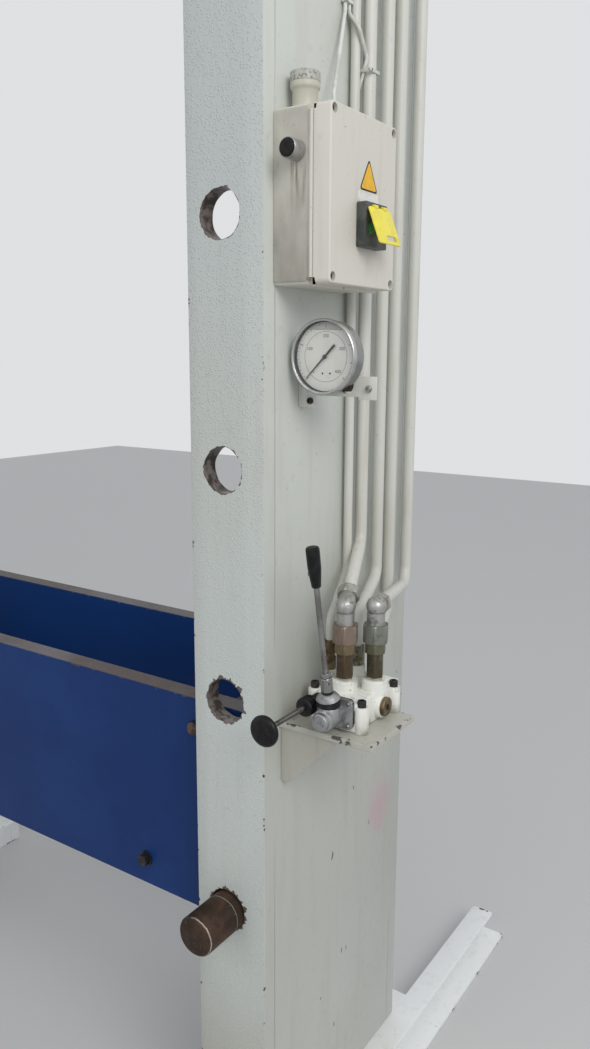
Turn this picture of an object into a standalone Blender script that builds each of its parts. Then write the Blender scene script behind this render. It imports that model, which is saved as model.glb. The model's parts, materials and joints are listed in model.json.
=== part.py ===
# Workshop hydraulic press of the two-column kind, built in metres with +Z up and the front facing -Y.
#
# The press is a welded frame. Two deep C-shaped columns stand on feet that run front to back. A crown of
# two thick plates joins them at the top and carries the cylinder, the oil tank, the pump and its motor.
# A bed of two plates hangs inside the columns and rests on two round pins pushed through holes in them.
# The controls sit on the outer side of the right column: switch box, gauge, lever valve and its pipes.
#
# Everything on that side is drawn in side coordinates: x out from the column's outer face, y back from
# its front face, z up from the floor. The function side() turns them into world coordinates. All pieces are
# made about the middle of the two columns, and at the end moved so that the middle of the space the whole
# press takes up on the floor is the origin.

import bpy
import bmesh
from math import pi, cos, sin, radians, tan
from mathutils import Vector, Matrix

for old in list(bpy.data.objects):
    bpy.data.objects.remove(old, do_unlink=True)

MM = 0.001
GAP = 0.3 * MM              # clearance left between pieces that touch

# Columns
CLEAR_WIDTH = 1200 * MM     # between the two columns
COLUMN_WIDTH = 140 * MM
COLUMN_DEPTH = 476 * MM
COLUMN_TOP = 2760 * MM
FLANGE = 28 * MM            # thick front and rear plates that carry the pins
WEB = 16 * MM               # outer side plate
HOLE_RADIUS = 36 * MM
HOLE_INSET = 77 * MM        # hole centre in from the outer face
LOW_HOLE_Z = 554 * MM
HOLE_STEP = 373 * MM
HOLES = 4

# Feet
FOOT_TOP = 60 * MM
FOOT_REACH = 456 * MM       # past the column, front and back
FOOT_WALL = 10 * MM
FOOT_UPPER_FLANGE = 52 * MM
FOOT_LOWER_FLANGE = 82 * MM
BASE_PLATE = 25 * MM
BASE_REACH = 64 * MM
BASE_LIP = 10 * MM          # past the column's inner edge
BASE_LEG = 25 * MM

# Bed
BED_DROP = 57 * MM          # lower edge below the middle of the lowest holes
BED_HEIGHT = 397.6 * MM
BED_PLATE = 40 * MM
BED_SETBACK = 42 * MM       # front plate's face behind the column's front face
BED_END_CLEAR = 6 * MM      # to the column's web
TIE_INSET = 162 * MM        # from the column's inner edge
TIE_RISE = 52 * MM          # above the bed's lower edge
TIE_SHANK = 8 * MM
TIE_SPACER = 21 * MM
TIE_WASHER = 16 * MM
TIE_HEAD = 13 * MM
BAR_INSET = 38 * MM
BAR_DROP = 54.6 * MM        # below the bed's upper edge
BAR_RADIUS = 12 * MM
BAR_PROUD = 26 * MM

# Pins
PIN_PLAY = 2 * MM           # hole radius less pin radius
PIN_FRONT = 86 * MM         # sticks out in front of the column
PIN_BACK = 40 * MM
PIN_CHAMFER = 4 * MM

# Crown and cylinder
CROWN_HEIGHT = 420 * MM
CROWN_PLATE = 40 * MM
CRADLE_HALF = 240 * MM
CRADLE_THICK = 60 * MM
DECK_LAP = 40 * MM          # deck's end past the column's inner edge
DECK_SETBACK = 20 * MM
DECK_THICK = 20 * MM
CYL_CLEAR = 25 * MM         # from the cylinder's wall to the crown plates
CYL_WALL = 40 * MM
CYL_DROP = 60 * MM          # below the crown plates
CYL_RISE = 34.7 * MM        # above the deck
CYL_CAP = 35 * MM
CYL_FLANGE = 45 * MM        # past the cylinder's wall
RAM_STEP = 15 * MM          # bore radius less ram radius
PISTON_THICK = 48 * MM
PISTON_CLEAR = 4 * MM       # over the piston when the ram is up
GLAND_FLANGE = 35 * MM      # past the bore
GLAND_THICK = 30 * MM
GLAND_SPIGOT = 45 * MM
NOSE_STEP = 6 * MM          # ram radius less nose radius
NOSE_THICK = 25 * MM
RAM_PROUD = 4.7 * MM        # ram's end below the gland when it is up

# Power unit on the deck
TANK_LENGTH = 430 * MM
TANK_CLEAR = 25 * MM        # to the cylinder's wall
TANK_SETBACK = 28 * MM      # from the deck's long edges
TANK_HEIGHT = 280 * MM
TANK_WALL = 5 * MM
TANK_CORNER = 12 * MM
FILL_INSET = 130 * MM
NECK_RADIUS = 24 * MM
NECK_HEIGHT = 22 * MM
NECK_WALL = 5 * MM
CAP_SKIRT = 6 * MM
FILLER_HEIGHT = 32 * MM
MOTOR_ASIDE = 127 * MM      # motor's axis in front of the return pipe
MOTOR_CLEAR = 25 * MM       # from the motor's round body to the deck
MOTOR_RADIUS = 85 * MM
MOTOR_RIM = 8 * MM
MOTOR_COWL = 5 * MM
MOTOR_RIBS = 20
RIB_DEPTH = 7 * MM
MOTOR_START = 180 * MM
MOTOR_LENGTH = 320 * MM
TERMINAL_LENGTH = 90 * MM
TERMINAL_INSET = 30 * MM    # from the motor's end
TERMINAL_RISE = 35 * MM     # over the motor's round body
PUMP_RADIUS = 45 * MM
BELL_RADIUS = 66 * MM
SUCTION_RADIUS = 18 * MM

# Control box on the side face
BOX_Y0 = 24 * MM
BOX_WIDTH = 189 * MM
BOX_Z0 = 1571 * MM
BOX_HEIGHT = 238 * MM
BOX_SPLIT = 66 * MM         # where the lid meets the box
LID_DEPTH = 29.2 * MM
BOX_WALL = 4 * MM
BOX_CORNER = 7 * MM
BOX_PILLAR = 20 * MM        # solid corners that take the lid screws
SCREW_INSET_Y, SCREW_INSET_Z = 6.5 * MM, 8 * MM
SCREW_RADIUS = 5 * MM
BUTTON_X = 41.3 * MM
BUTTON_DROP = 60 * MM       # below the top of the box
CAP_RADIUS = 10.4 * MM
CAP_RISE = 2.4 * MM         # past the sleeve
CAP_LENGTH = 24 * MM
NECK_SKIN = 0.6 * MM        # sleeve's wall where it passes through the box
BEZEL_LIP = 3 * MM
BEZEL_PROUD = 25 * MM
STUB_X, STUB_INSET = 26 * MM, 42 * MM
STUB_SPIGOT = 15 * MM
STUB_RADIUS = 19 * MM
STUB_COLLAR = 21.5 * MM
STUB_HEIGHT = 62 * MM
CABLE_X, CABLE_INSET = 30 * MM, 112 * MM

# Switch under its flap, on the lid
SWITCH_INSET = 71 * MM      # from the front side of the box
SWITCH_RISE = 55 * MM       # from the bottom of the box
SWITCH_WIDTH, SWITCH_HEIGHT = 63 * MM, 62 * MM
SWITCH_DEPTH = 16 * MM
SWITCH_BUTTON = 9 * MM
BUTTON_SPACING = 28 * MM
FLAP_LAP = 1 * MM           # past the housing on its front side
FLAP_LENGTH = 54 * MM
FLAP_THICK = 2.4 * MM
FLAP_ANGLE = 21             # degrees out from hanging straight down
HINGE_CLEAR = 4.3 * MM      # from the housing's face to the hinge
HINGE_DROP = 8 * MM         # below the housing's top
KNUCKLE_RADIUS = 3.2 * MM

# Gauge
GAUGE_CLEAR = 8 * MM        # from the case to the column
GAUGE_Y, GAUGE_Z = 58 * MM, 1471 * MM
GAUGE_RADIUS = 55 * MM
GAUGE_DEPTH = 34 * MM
GLASS_DEPTH, GLASS_THICK = 3.6 * MM, 2 * MM
DIAL_DEPTH, DIAL_THICK = 20 * MM, 1.5 * MM
NEEDLE_DEPTH = 13 * MM
NEEDLE_TIP, NEEDLE_TAIL = 44 * MM, 24 * MM
STEM_X, STEM_DROP = 22 * MM, 41 * MM

# Valve bracket and valve
SHELF_Z = 898 * MM
SHELF_THICK = 10 * MM
SHELF_OUT = 170 * MM
SHELF_Y0, SHELF_WIDTH = 40 * MM, 144 * MM
GUSSET_OUT = 109 * MM
GUSSET_DROP = 96 * MM
VALVE_X0, VALVE_X1 = 44 * MM, 128 * MM
VALVE_Y0, VALVE_Y1 = 66 * MM, 206 * MM
VALVE_HEIGHT = 48 * MM
PORT_RISE = 17 * MM         # ports above the valve's top
SPOOL_X = 97 * MM
SPOOL_RISE = 32 * MM        # above the shelf
LEVER_Y = 34 * MM
LEVER_RISE = 23 * MM        # lever's ball above the spool
LEVER_BALL = 7 * MM
LEVER_ROD = 4.4 * MM
LEVER_TILT = 11.2           # degrees toward the front when the valve rests
LEVER_LENGTH = 257 * MM
GRIP_LENGTH = 62 * MM
TURRET_RADIUS = 20 * MM
TURRET_BORE = 15.5 * MM
TURRET_RISE = 13 * MM       # above the lever's ball
RELIEF_X, RELIEF_RISE = 60 * MM, 43 * MM
RELIEF_SCREW = 4 * MM
RELIEF_REACH = 46 * MM      # lock nut and guide in front of the valve
KNOB_Y, KNOB_RADIUS = -89 * MM, 24 * MM
SCREW_LENGTH = 150 * MM
BALL_RISE = 120 * MM        # middle of an elbow's ball above its port
BALL_RADIUS = 16 * MM
PORTS = {"left": (77 * MM, 115 * MM), "right": (116 * MM, 144 * MM), "inner": (33 * MM, 141 * MM),
         "second": (58 * MM, 186 * MM), "third": (88 * MM, 196 * MM)}

# Pipes up the side face, and cables
PIPE_RADIUS = 10.5 * MM
PIPE_X = 22 * MM
THIRD_PIPE_X = 16 * MM      # closer to the face, to pass behind the pressure pipe
PIPE_FIRST_Y = 255 * MM
PIPE_LAST = 44.9 * MM       # last pipe in from the column's rear face
THIN_RADIUS = 7.5 * MM
THIN_X, THIN_Y = 12 * MM, 228 * MM
PIPE_BEND = 32 * MM
RUN_RISE = 19.7 * MM        # runs of the pipes above the deck
RETURN_RISE = 60 * MM       # the return pipe above the other runs
PRESSURE_RISE = 90 * MM     # the pressure pipe above the motor's axis
PRESSURE_X = 40 * MM
BOSS_OUT = 20 * MM          # cylinder's port bosses past its wall
UPPER_BOSS_SHARE = 0.5935   # upper port's place on the way from the gauge's port to the lower port's
LOWER_BOSS = 10.6 * MM      # lower port in from the cylinder's rear
DROP_X = 250 * MM
DROP_RISE = 100 * MM        # lower port above the crown plates' lower edge
CLAMP_DROP = 460 * MM
CLAMP_HEIGHT = 30 * MM
CABLE_RADIUS = 2.1 * MM
CABLE_RUN_X = 6 * MM
CABLE_TO_PIPE = 3.5 * MM    # middle of the second cable to the gauge pipe's side
CABLE_PITCH = 12 * MM
CABLE_TURN = 50 * MM        # cables turn up this far past the motor's cable box

FACE_X = CLEAR_WIDTH / 2 + COLUMN_WIDTH
FRONT_Y = -COLUMN_DEPTH / 2
BACK_Y = COLUMN_DEPTH / 2
PIN_RADIUS = HOLE_RADIUS - PIN_PLAY
PIN_X = FACE_X - HOLE_INSET
PIN_Z = LOW_HOLE_Z - (HOLE_RADIUS - PIN_RADIUS - GAP)
BED_BOTTOM = LOW_HOLE_Z - BED_DROP
BED_TOP = BED_BOTTOM + BED_HEIGHT
DECK_TOP = COLUMN_TOP + GAP + DECK_THICK
CROWN_BOTTOM = COLUMN_TOP - CROWN_HEIGHT
CYL_RADIUS = COLUMN_DEPTH / 2 - FLANGE - CROWN_PLATE - CYL_CLEAR
CYL_BORE = CYL_RADIUS - CYL_WALL
CYL_BOTTOM = CROWN_BOTTOM - CYL_DROP
CYL_TOP = DECK_TOP + CYL_RISE
CYL_BORE_TOP = CYL_TOP - CYL_CAP
RAM_RADIUS = CYL_BORE - RAM_STEP
GLAND_BOTTOM = CYL_BOTTOM - GLAND_THICK
RAM_BOTTOM = GLAND_BOTTOM - RAM_PROUD
PISTON_TOP = CYL_BORE_TOP - PISTON_CLEAR
TANK_HALF_DEPTH = COLUMN_DEPTH / 2 - DECK_SETBACK - TANK_SETBACK
TANK_X1 = -CYL_RADIUS - TANK_CLEAR
TANK_X0 = TANK_X1 - TANK_LENGTH
FILL_X = TANK_X0 + FILL_INSET
MOTOR_Y = FRONT_Y + PIPE_FIRST_Y - MOTOR_ASIDE
MOTOR_Z = DECK_TOP + MOTOR_RADIUS + MOTOR_CLEAR
MOTOR_END = MOTOR_START + MOTOR_LENGTH
TERMINAL_X = MOTOR_END - TERMINAL_INSET
TERMINAL_Z = MOTOR_Z + MOTOR_RADIUS + TERMINAL_RISE
BOX_Y1 = BOX_Y0 + BOX_WIDTH
BOX_Z1 = BOX_Z0 + BOX_HEIGHT
BOX_OUT = BOX_SPLIT + LID_DEPTH
BUTTON_Z = BOX_Z1 - BUTTON_DROP
BEZEL_NECK = CAP_RADIUS + NECK_SKIN
BEZEL_RADIUS = BEZEL_NECK + BEZEL_LIP
STUB_Y = BOX_Y0 + STUB_INSET
CABLE_Y = BOX_Y0 + CABLE_INSET
SWITCH_Y0 = BOX_Y0 + SWITCH_INSET
SWITCH_Y1 = SWITCH_Y0 + SWITCH_WIDTH
SWITCH_Z0 = BOX_Z0 + SWITCH_RISE
SWITCH_Z1 = SWITCH_Z0 + SWITCH_HEIGHT
FLAP_Y0, FLAP_Y1 = SWITCH_Y0 - FLAP_LAP, SWITCH_Y1
HINGE_X = BOX_OUT + SWITCH_DEPTH + HINGE_CLEAR
HINGE_Z = SWITCH_Z1 - HINGE_DROP
GAUGE_X = GAUGE_RADIUS + GAUGE_CLEAR
SHELF_Y1 = SHELF_Y0 + SHELF_WIDTH
VALVE_TOP = SHELF_Z + VALVE_HEIGHT
PORT_TOP = VALVE_TOP + PORT_RISE
SPOOL_Z = SHELF_Z + SPOOL_RISE
LEVER_Z = SPOOL_Z + LEVER_RISE
RELIEF_Z = SHELF_Z + RELIEF_RISE
BALL_Z = PORT_TOP + BALL_RISE
ELBOW_BEND_Z = BALL_Z + 75 * MM
RIGHT_BEND_Z = BALL_Z - 37 * MM
PIPE_PITCH = (COLUMN_DEPTH - PIPE_FIRST_Y - PIPE_LAST) / 3
CABLE_RUN_Y = THIN_Y - THIN_RADIUS - CABLE_TO_PIPE - CABLE_PITCH
DECK_RUN = DECK_TOP + RUN_RISE
BOSS_X = CYL_RADIUS + BOSS_OUT
GAUGE_PORT_Y = FRONT_Y + THIN_Y
LOWER_BOSS_Y = CYL_RADIUS - LOWER_BOSS
UPPER_BOSS_Y = GAUGE_PORT_Y + UPPER_BOSS_SHARE * (LOWER_BOSS_Y - GAUGE_PORT_Y)
DROP_Z = CROWN_BOTTOM + DROP_RISE
MIDDLE_X = (SHELF_OUT - FOOT_LOWER_FLANGE) / 2  # from the columns' middle to the whole press's middle

PAINTS = {
    "frame_white": ((0.62, 0.64, 0.58), 0.45, 0.0),
    "box_cream": ((0.66, 0.64, 0.55), 0.4, 0.0),
    "bed_blue": ((0.012, 0.035, 0.17), 0.45, 0.0),
    "bare_steel": ((0.30, 0.29, 0.28), 0.4, 1.0),
    "rusty_steel": ((0.10, 0.055, 0.035), 0.6, 0.6),
    "chrome": ((0.6, 0.6, 0.6), 0.15, 1.0),
    "zinc": ((0.45, 0.45, 0.43), 0.35, 1.0),
    "brass": ((0.30, 0.22, 0.10), 0.45, 0.8),
    "black_plastic": ((0.015, 0.015, 0.016), 0.4, 0.0),
    "grey_plastic": ((0.06, 0.065, 0.065), 0.5, 0.0),
    "yellow_plastic": ((0.75, 0.62, 0.03), 0.4, 0.0),
    "green_plastic": ((0.02, 0.20, 0.05), 0.4, 0.0),
    "red_plastic": ((0.40, 0.03, 0.02), 0.4, 0.0),
    "cast_aluminium": ((0.36, 0.37, 0.38), 0.4, 0.9),
    "dial_white": ((0.62, 0.62, 0.57), 0.5, 0.0),
    "glass": ((0.8, 0.82, 0.82), 0.05, 0.0),
    "cable_white": ((0.66, 0.66, 0.62), 0.5, 0.0),
    "tank_grey": ((0.30, 0.32, 0.33), 0.45, 0.0),
    "motor_blue": ((0.05, 0.11, 0.20), 0.45, 0.0),
}


def paint(key):
    """A plain material of that colour, roughness and metallic value, made once and shared."""
    found = bpy.data.materials.get(key)
    if found:
        return found
    colour, roughness, metallic = PAINTS[key]
    made = bpy.data.materials.new(key)
    made.use_nodes = True
    shader = made.node_tree.nodes["Principled BSDF"]
    shader.inputs["Base Color"].default_value = (*colour, 1.0)
    shader.inputs["Roughness"].default_value = roughness
    shader.inputs["Metallic"].default_value = metallic
    return made


def side(x, y, z):
    """World point of a place beside the right column."""
    return Vector((FACE_X + x, FRONT_Y + y, z))


def aim(origin, direction):
    """Matrix that puts local z along the direction, at the origin, with local x kept level."""
    forward = Vector(direction).normalized()
    helper = Vector((0, 0, 1)) if abs(forward.z) < 0.9 else Vector((1, 0, 0))
    across = helper.cross(forward).normalized()
    up = forward.cross(across)
    turn = Matrix((across, up, forward)).transposed().to_4x4()
    return Matrix.Translation(Vector(origin)) @ turn


def extrude(outline, low, high, axis):
    """Solid with that outline, run from low to high along the axis."""
    order = {"z": lambda a, b, h: (a, b, h), "y": lambda a, b, h: (a, h, b),
             "x": lambda a, b, h: (h, a, b)}
    spot = order[axis]
    work = bmesh.new()
    rings = [[work.verts.new(spot(a, b, h)) for a, b in outline] for h in (low, high)]
    work.faces.new(rings[0])
    work.faces.new(rings[1])
    count = len(outline)
    for i in range(count):
        j = (i + 1) % count
        work.faces.new((rings[0][i], rings[0][j], rings[1][j], rings[1][i]))
    bmesh.ops.recalc_face_normals(work, faces=work.faces)
    return work


def block(x0, x1, y0, y1, z0, z1):
    """Plain box."""
    return extrude([(x0, y0), (x1, y0), (x1, y1), (x0, y1)], z0, z1, "z")


def side_block(x0, x1, y0, y1, z0, z1):
    """Plain box in side coordinates."""
    return block(FACE_X + x0, FACE_X + x1, FRONT_Y + y0, FRONT_Y + y1, z0, z1)


def lathe(profile, matrix, steps=24, closed=False, turn=0.0):
    """Profile of (radius, height) pairs spun about local z. A closed profile makes a ring."""
    work = bmesh.new()
    rows = []
    for radius, height in profile:
        if radius == 0:
            rows.append([work.verts.new((0, 0, height))])
        else:
            angles = [turn + 2 * pi * k / steps for k in range(steps)]
            rows.append([work.verts.new((radius * cos(a), radius * sin(a), height)) for a in angles])
    pairs = list(zip(rows, rows[1:]))
    if closed:
        pairs.append((rows[-1], rows[0]))
    for low, high in pairs:
        for k in range(steps):
            n = (k + 1) % steps
            if len(low) == 1 and len(high) == 1:
                continue
            if len(low) == 1:
                work.faces.new((low[0], high[k], high[n]))
            elif len(high) == 1:
                work.faces.new((low[k], low[n], high[0]))
            else:
                work.faces.new((low[k], low[n], high[n], high[k]))
    bmesh.ops.transform(work, matrix=matrix, verts=work.verts)
    bmesh.ops.recalc_face_normals(work, faces=work.faces)
    return work


def rod(start, end, radius, steps=16, turn=0.0):
    """Round bar from start to end. With six steps it is a hexagon."""
    start, end = Vector(start), Vector(end)
    length = (end - start).length
    profile = [(0, 0), (radius, 0), (radius, length), (0, length)]
    return lathe(profile, aim(start, end - start), steps, turn=turn)


def rounded(a0, a1, b0, b1, radius, steps=2):
    """Rectangle outline with rounded corners."""
    points = []
    corners = ((a1 - radius, b1 - radius, 0), (a0 + radius, b1 - radius, 1),
               (a0 + radius, b0 + radius, 2), (a1 - radius, b0 + radius, 3))
    for a, b, quarter in corners:
        for k in range(steps + 1):
            angle = (quarter + k / steps) * pi / 2
            points.append((a + radius * cos(angle), b + radius * sin(angle)))
    return points


def notched(a0, a1, b0, b1, corner):
    """Rectangle outline with a square taken out of each corner."""
    c = corner
    return [(a0 + c, b0), (a1 - c, b0), (a1 - c, b0 + c), (a1, b0 + c), (a1, b1 - c), (a1 - c, b1 - c),
            (a1 - c, b1), (a0 + c, b1), (a0 + c, b1 - c), (a0, b1 - c), (a0, b0 + c), (a0 + c, b0 + c)]


def bend_points(points, bend, arc_steps):
    """Points of a path whose corners are rounded to the bend radius."""
    points = [Vector(p) for p in points]
    path = [points[0]]
    for before, corner, after in zip(points, points[1:], points[2:]):
        into, out = (corner - before).normalized(), (after - corner).normalized()
        turn = into.angle(out)
        if turn < 0.02:
            path.append(corner)
            continue
        reach = min(bend * tan(turn / 2), 0.48 * (corner - before).length, 0.48 * (after - corner).length)
        radius = reach / tan(turn / 2)
        axis = into.cross(out).normalized()
        centre = corner - into * reach + axis.cross(into) * radius
        spoke = corner - into * reach - centre
        for k in range(arc_steps + 1):
            path.append(centre + Matrix.Rotation(turn * k / arc_steps, 3, axis) @ spoke)
    path.append(points[-1])
    return path


def sweep(points, radius, bend=PIPE_BEND, steps=8, arc_steps=3):
    """Round bar along a path with rounded corners."""
    path = bend_points(points, bend, arc_steps)
    work = bmesh.new()
    forward = (path[1] - path[0]).normalized()
    helper = Vector((0, 0, 1)) if abs(forward.z) < 0.9 else Vector((1, 0, 0))
    across = helper.cross(forward).normalized()
    rings = []
    for i, centre in enumerate(path):
        ahead = (path[min(i + 1, len(path) - 1)] - path[max(i - 1, 0)]).normalized()
        across = (across - ahead * across.dot(ahead)).normalized()
        up = ahead.cross(across)
        ring = []
        for k in range(steps):
            angle = 2 * pi * k / steps
            ring.append(work.verts.new(centre + (across * cos(angle) + up * sin(angle)) * radius))
        rings.append(ring)
    for low, high in zip(rings, rings[1:]):
        for k in range(steps):
            n = (k + 1) % steps
            work.faces.new((low[k], low[n], high[n], high[k]))
    work.faces.new(rings[0])
    work.faces.new(rings[-1])
    bmesh.ops.recalc_face_normals(work, faces=work.faces)
    return work


def finish(name, work, key, origin=None, smooth=None):
    """Turn the working mesh into a named object with its material, set about its own origin."""
    origin = Vector(origin) if origin is not None else Vector((0, 0, 0))
    bmesh.ops.translate(work, verts=work.verts, vec=-origin)
    mesh = bpy.data.meshes.new(name)
    work.to_mesh(mesh)
    work.free()
    mesh.materials.append(paint(key))
    piece = bpy.data.objects.new(name, mesh)
    piece.location = origin
    bpy.context.collection.objects.link(piece)
    if smooth:
        soften(piece, smooth)
    return piece


def soften(piece, angle=35):
    """Shade the round surfaces smooth and keep the edges sharper than the angle crisp."""
    work = bmesh.new()
    work.from_mesh(piece.data)
    for face in work.faces:
        face.smooth = True
    for edge in work.edges:
        edge.smooth = not (len(edge.link_faces) == 2 and edge.calc_face_angle(0) > radians(angle))
    work.to_mesh(piece.data)
    work.free()


def combine(piece, works, operation):
    """Join the working meshes to the piece, or cut them out of it."""
    for work in works:
        tool = finish("tool", work, "zinc", origin=None)
        change = piece.modifiers.new("change", "BOOLEAN")
        change.operation = operation
        change.solver = "EXACT"
        change.object = tool
        bpy.context.view_layer.update()
        graph = bpy.context.evaluated_depsgraph_get()
        result = bpy.data.meshes.new_from_object(piece.evaluated_get(graph))
        piece.modifiers.clear()
        piece.data = result
        bpy.data.objects.remove(tool, do_unlink=True)
    keep_one_material(piece)
    return piece


def keep_one_material(piece):
    """Drop the material slots that the joined or cutting shapes brought along."""
    while len(piece.data.materials) > 1:
        piece.data.materials.pop(index=len(piece.data.materials) - 1)
    for face in piece.data.polygons:
        face.material_index = 0


def add(piece, *works):
    return combine(piece, works, "UNION")


def cut(piece, *works):
    return combine(piece, works, "DIFFERENCE")


def hole_heights():
    """Heights of the pin holes, lowest first."""
    return [LOW_HOLE_Z + HOLE_STEP * k for k in range(HOLES)]


def column(name, hand):
    """C-shaped column, open toward the bed, with the pin holes through both thick plates."""
    outer, inner = hand * FACE_X, hand * (FACE_X - COLUMN_WIDTH)
    web = hand * (FACE_X - WEB)
    outline = [(inner, FRONT_Y), (outer, FRONT_Y), (outer, BACK_Y), (inner, BACK_Y),
               (inner, BACK_Y - FLANGE), (web, BACK_Y - FLANGE), (web, FRONT_Y + FLANGE),
               (inner, FRONT_Y + FLANGE)]
    piece = finish(name, extrude(outline, FOOT_TOP + GAP, COLUMN_TOP, "z"), "frame_white")
    for z in hole_heights():
        reach = BACK_Y + 20 * MM
        cut(piece, rod((hand * PIN_X, -reach, z), (hand * PIN_X, reach, z), HOLE_RADIUS, 18))
    soften(piece, 30)
    return piece


def foot(name, hand):
    """Folded channel, open outward, with the base plate that the column stands on."""
    start, wall = hand * (FACE_X + GAP), hand * (FACE_X + FOOT_WALL)
    top, low = hand * (FACE_X + FOOT_UPPER_FLANGE), hand * (FACE_X + FOOT_LOWER_FLANGE)
    inner = hand * (FACE_X - COLUMN_WIDTH - BASE_LIP)
    outline = [(start, 0), (low, 0), (low, FOOT_WALL), (wall, FOOT_WALL), (wall, FOOT_TOP - FOOT_WALL),
               (top, FOOT_TOP - FOOT_WALL), (top, FOOT_TOP), (start, FOOT_TOP)]
    end = BACK_Y + FOOT_REACH
    piece = finish(name, extrude(outline, -end, end, "y"), "frame_white")
    leg = inner + hand * BASE_LEG
    plate = [(wall, FOOT_TOP), (inner, FOOT_TOP), (inner, 0), (leg, 0), (leg, FOOT_TOP - BASE_PLATE),
             (wall, FOOT_TOP - BASE_PLATE)]
    return add(piece, extrude(plate, -BACK_Y - BASE_REACH, BACK_Y + BASE_REACH, "y"))


def bed_plate(name, y0):
    """Deep plate of the bed. Its saddles in the lower edge sit down over the pins."""
    half = FACE_X - WEB - BED_END_CLEAR
    piece = finish(name, block(-half, half, y0, y0 + BED_PLATE, BED_BOTTOM, BED_TOP), "bed_blue")
    reach = 10 * MM
    saddle = PIN_RADIUS + GAP
    for hand in (-1, 1):
        angles = [a * pi / 9 for a in range(10)]
        outline = [(hand * PIN_X + saddle * cos(a), PIN_Z + saddle * sin(a)) for a in angles]
        outline += [(hand * PIN_X - saddle, BED_BOTTOM - reach), (hand * PIN_X + saddle, BED_BOTTOM - reach)]
        cut(piece, extrude(outline, y0 - reach, y0 + BED_PLATE + reach, "y"))
        for (x, z), radius, steps in ((tie_place(hand), TIE_SHANK, 8), (bar_place(hand), BAR_RADIUS, 10)):
            cut(piece, rod((x, y0 - reach, z), (x, y0 + BED_PLATE + reach, z), radius + GAP, steps))
    return piece


def tie_place(hand):
    """Bed bolt on that side as (x, z)."""
    return hand * (CLEAR_WIDTH / 2 - TIE_INSET), BED_BOTTOM + TIE_RISE


def bar_place(hand):
    """Lifting bar on that side as (x, z)."""
    return hand * (CLEAR_WIDTH / 2 - BAR_INSET), BED_TOP - BAR_DROP


def bed_tie(name, hand):
    """Bolt through both bed plates with its washers, nut and the spacer tube between the plates."""
    front = FRONT_Y + BED_SETBACK
    inner = front + BED_PLATE
    washer, head = 3 * MM, 10 * MM
    x, z = tie_place(hand)
    half = -(inner + GAP)
    out = -(front - GAP)
    profile = [(0, -out - washer), (TIE_WASHER, -out - washer), (TIE_WASHER, -out), (TIE_SHANK, -out),
               (TIE_SHANK, -half), (TIE_SPACER, -half), (TIE_SPACER, half), (TIE_SHANK, half),
               (TIE_SHANK, out), (TIE_WASHER, out), (TIE_WASHER, out + washer), (0, out + washer)]
    piece = finish(name, lathe(profile, aim((x, 0, z), (0, 1, 0)), 8), "rusty_steel")
    for sign in (-1, 1):
        add(piece, rod((x, sign * out, z), (x, sign * (out + washer + head), z), TIE_HEAD, 6))
    return piece


def lifting_bar(name, hand):
    """Round bar through both bed plates, for the chain that lifts the bed."""
    end = -(FRONT_Y + BED_SETBACK) + BAR_PROUD
    x, z = bar_place(hand)
    return finish(name, rod((x, -end, z), (x, end, z), BAR_RADIUS, 10), "rusty_steel", smooth=40)


def pin(name, hand):
    """Round pin that carries one end of the bed. It lies on the bottom of its column holes."""
    c, r = PIN_CHAMFER, PIN_RADIUS
    start = FRONT_Y - PIN_FRONT
    length = PIN_FRONT + COLUMN_DEPTH + PIN_BACK
    profile = [(0, 0), (r - c, 0), (r, c), (r, length - c), (r - c, length), (0, length)]
    origin = (hand * PIN_X, start, PIN_Z)
    return finish(name, lathe(profile, aim(origin, (0, 1, 0)), 18), "rusty_steel", origin=origin, smooth=50)


def crown_plate(name, y0):
    """Upper cross plate, welded inside the two columns."""
    half = FACE_X - WEB - GAP
    return finish(name, block(-half, half, y0, y0 + CROWN_PLATE, CROWN_BOTTOM, COLUMN_TOP), "frame_white")


def cylinder_cradle():
    """Thick plate between the crown plates. The cylinder's flange pushes up against it."""
    half = -(FRONT_Y + FLANGE + GAP + CROWN_PLATE + GAP)
    low, high = CROWN_BOTTOM, CROWN_BOTTOM + CRADLE_THICK
    piece = finish("cylinder_cradle", block(-CRADLE_HALF, CRADLE_HALF, -half, half, low, high), "frame_white")
    return cut(piece, rod((0, 0, low - 0.01), (0, 0, high + 0.01), CYL_RADIUS + GAP, 20))


def deck():
    """Top plate of the crown, where the tank and the motor stand."""
    half = -FRONT_Y - DECK_SETBACK
    end = CLEAR_WIDTH / 2 + DECK_LAP
    low = COLUMN_TOP + GAP
    piece = finish("crown_deck", block(-end, end, -half, half, low, DECK_TOP), "frame_white")
    cut(piece, rod((0, 0, low - 0.01), (0, 0, DECK_TOP + 0.01), CYL_RADIUS + GAP, 20))
    x, y = DROP_X, LOWER_BOSS_Y
    return cut(piece, rod((x, y, low - 0.01), (x, y, DECK_TOP + 0.01), PIPE_RADIUS + 6 * MM, 10))


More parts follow.
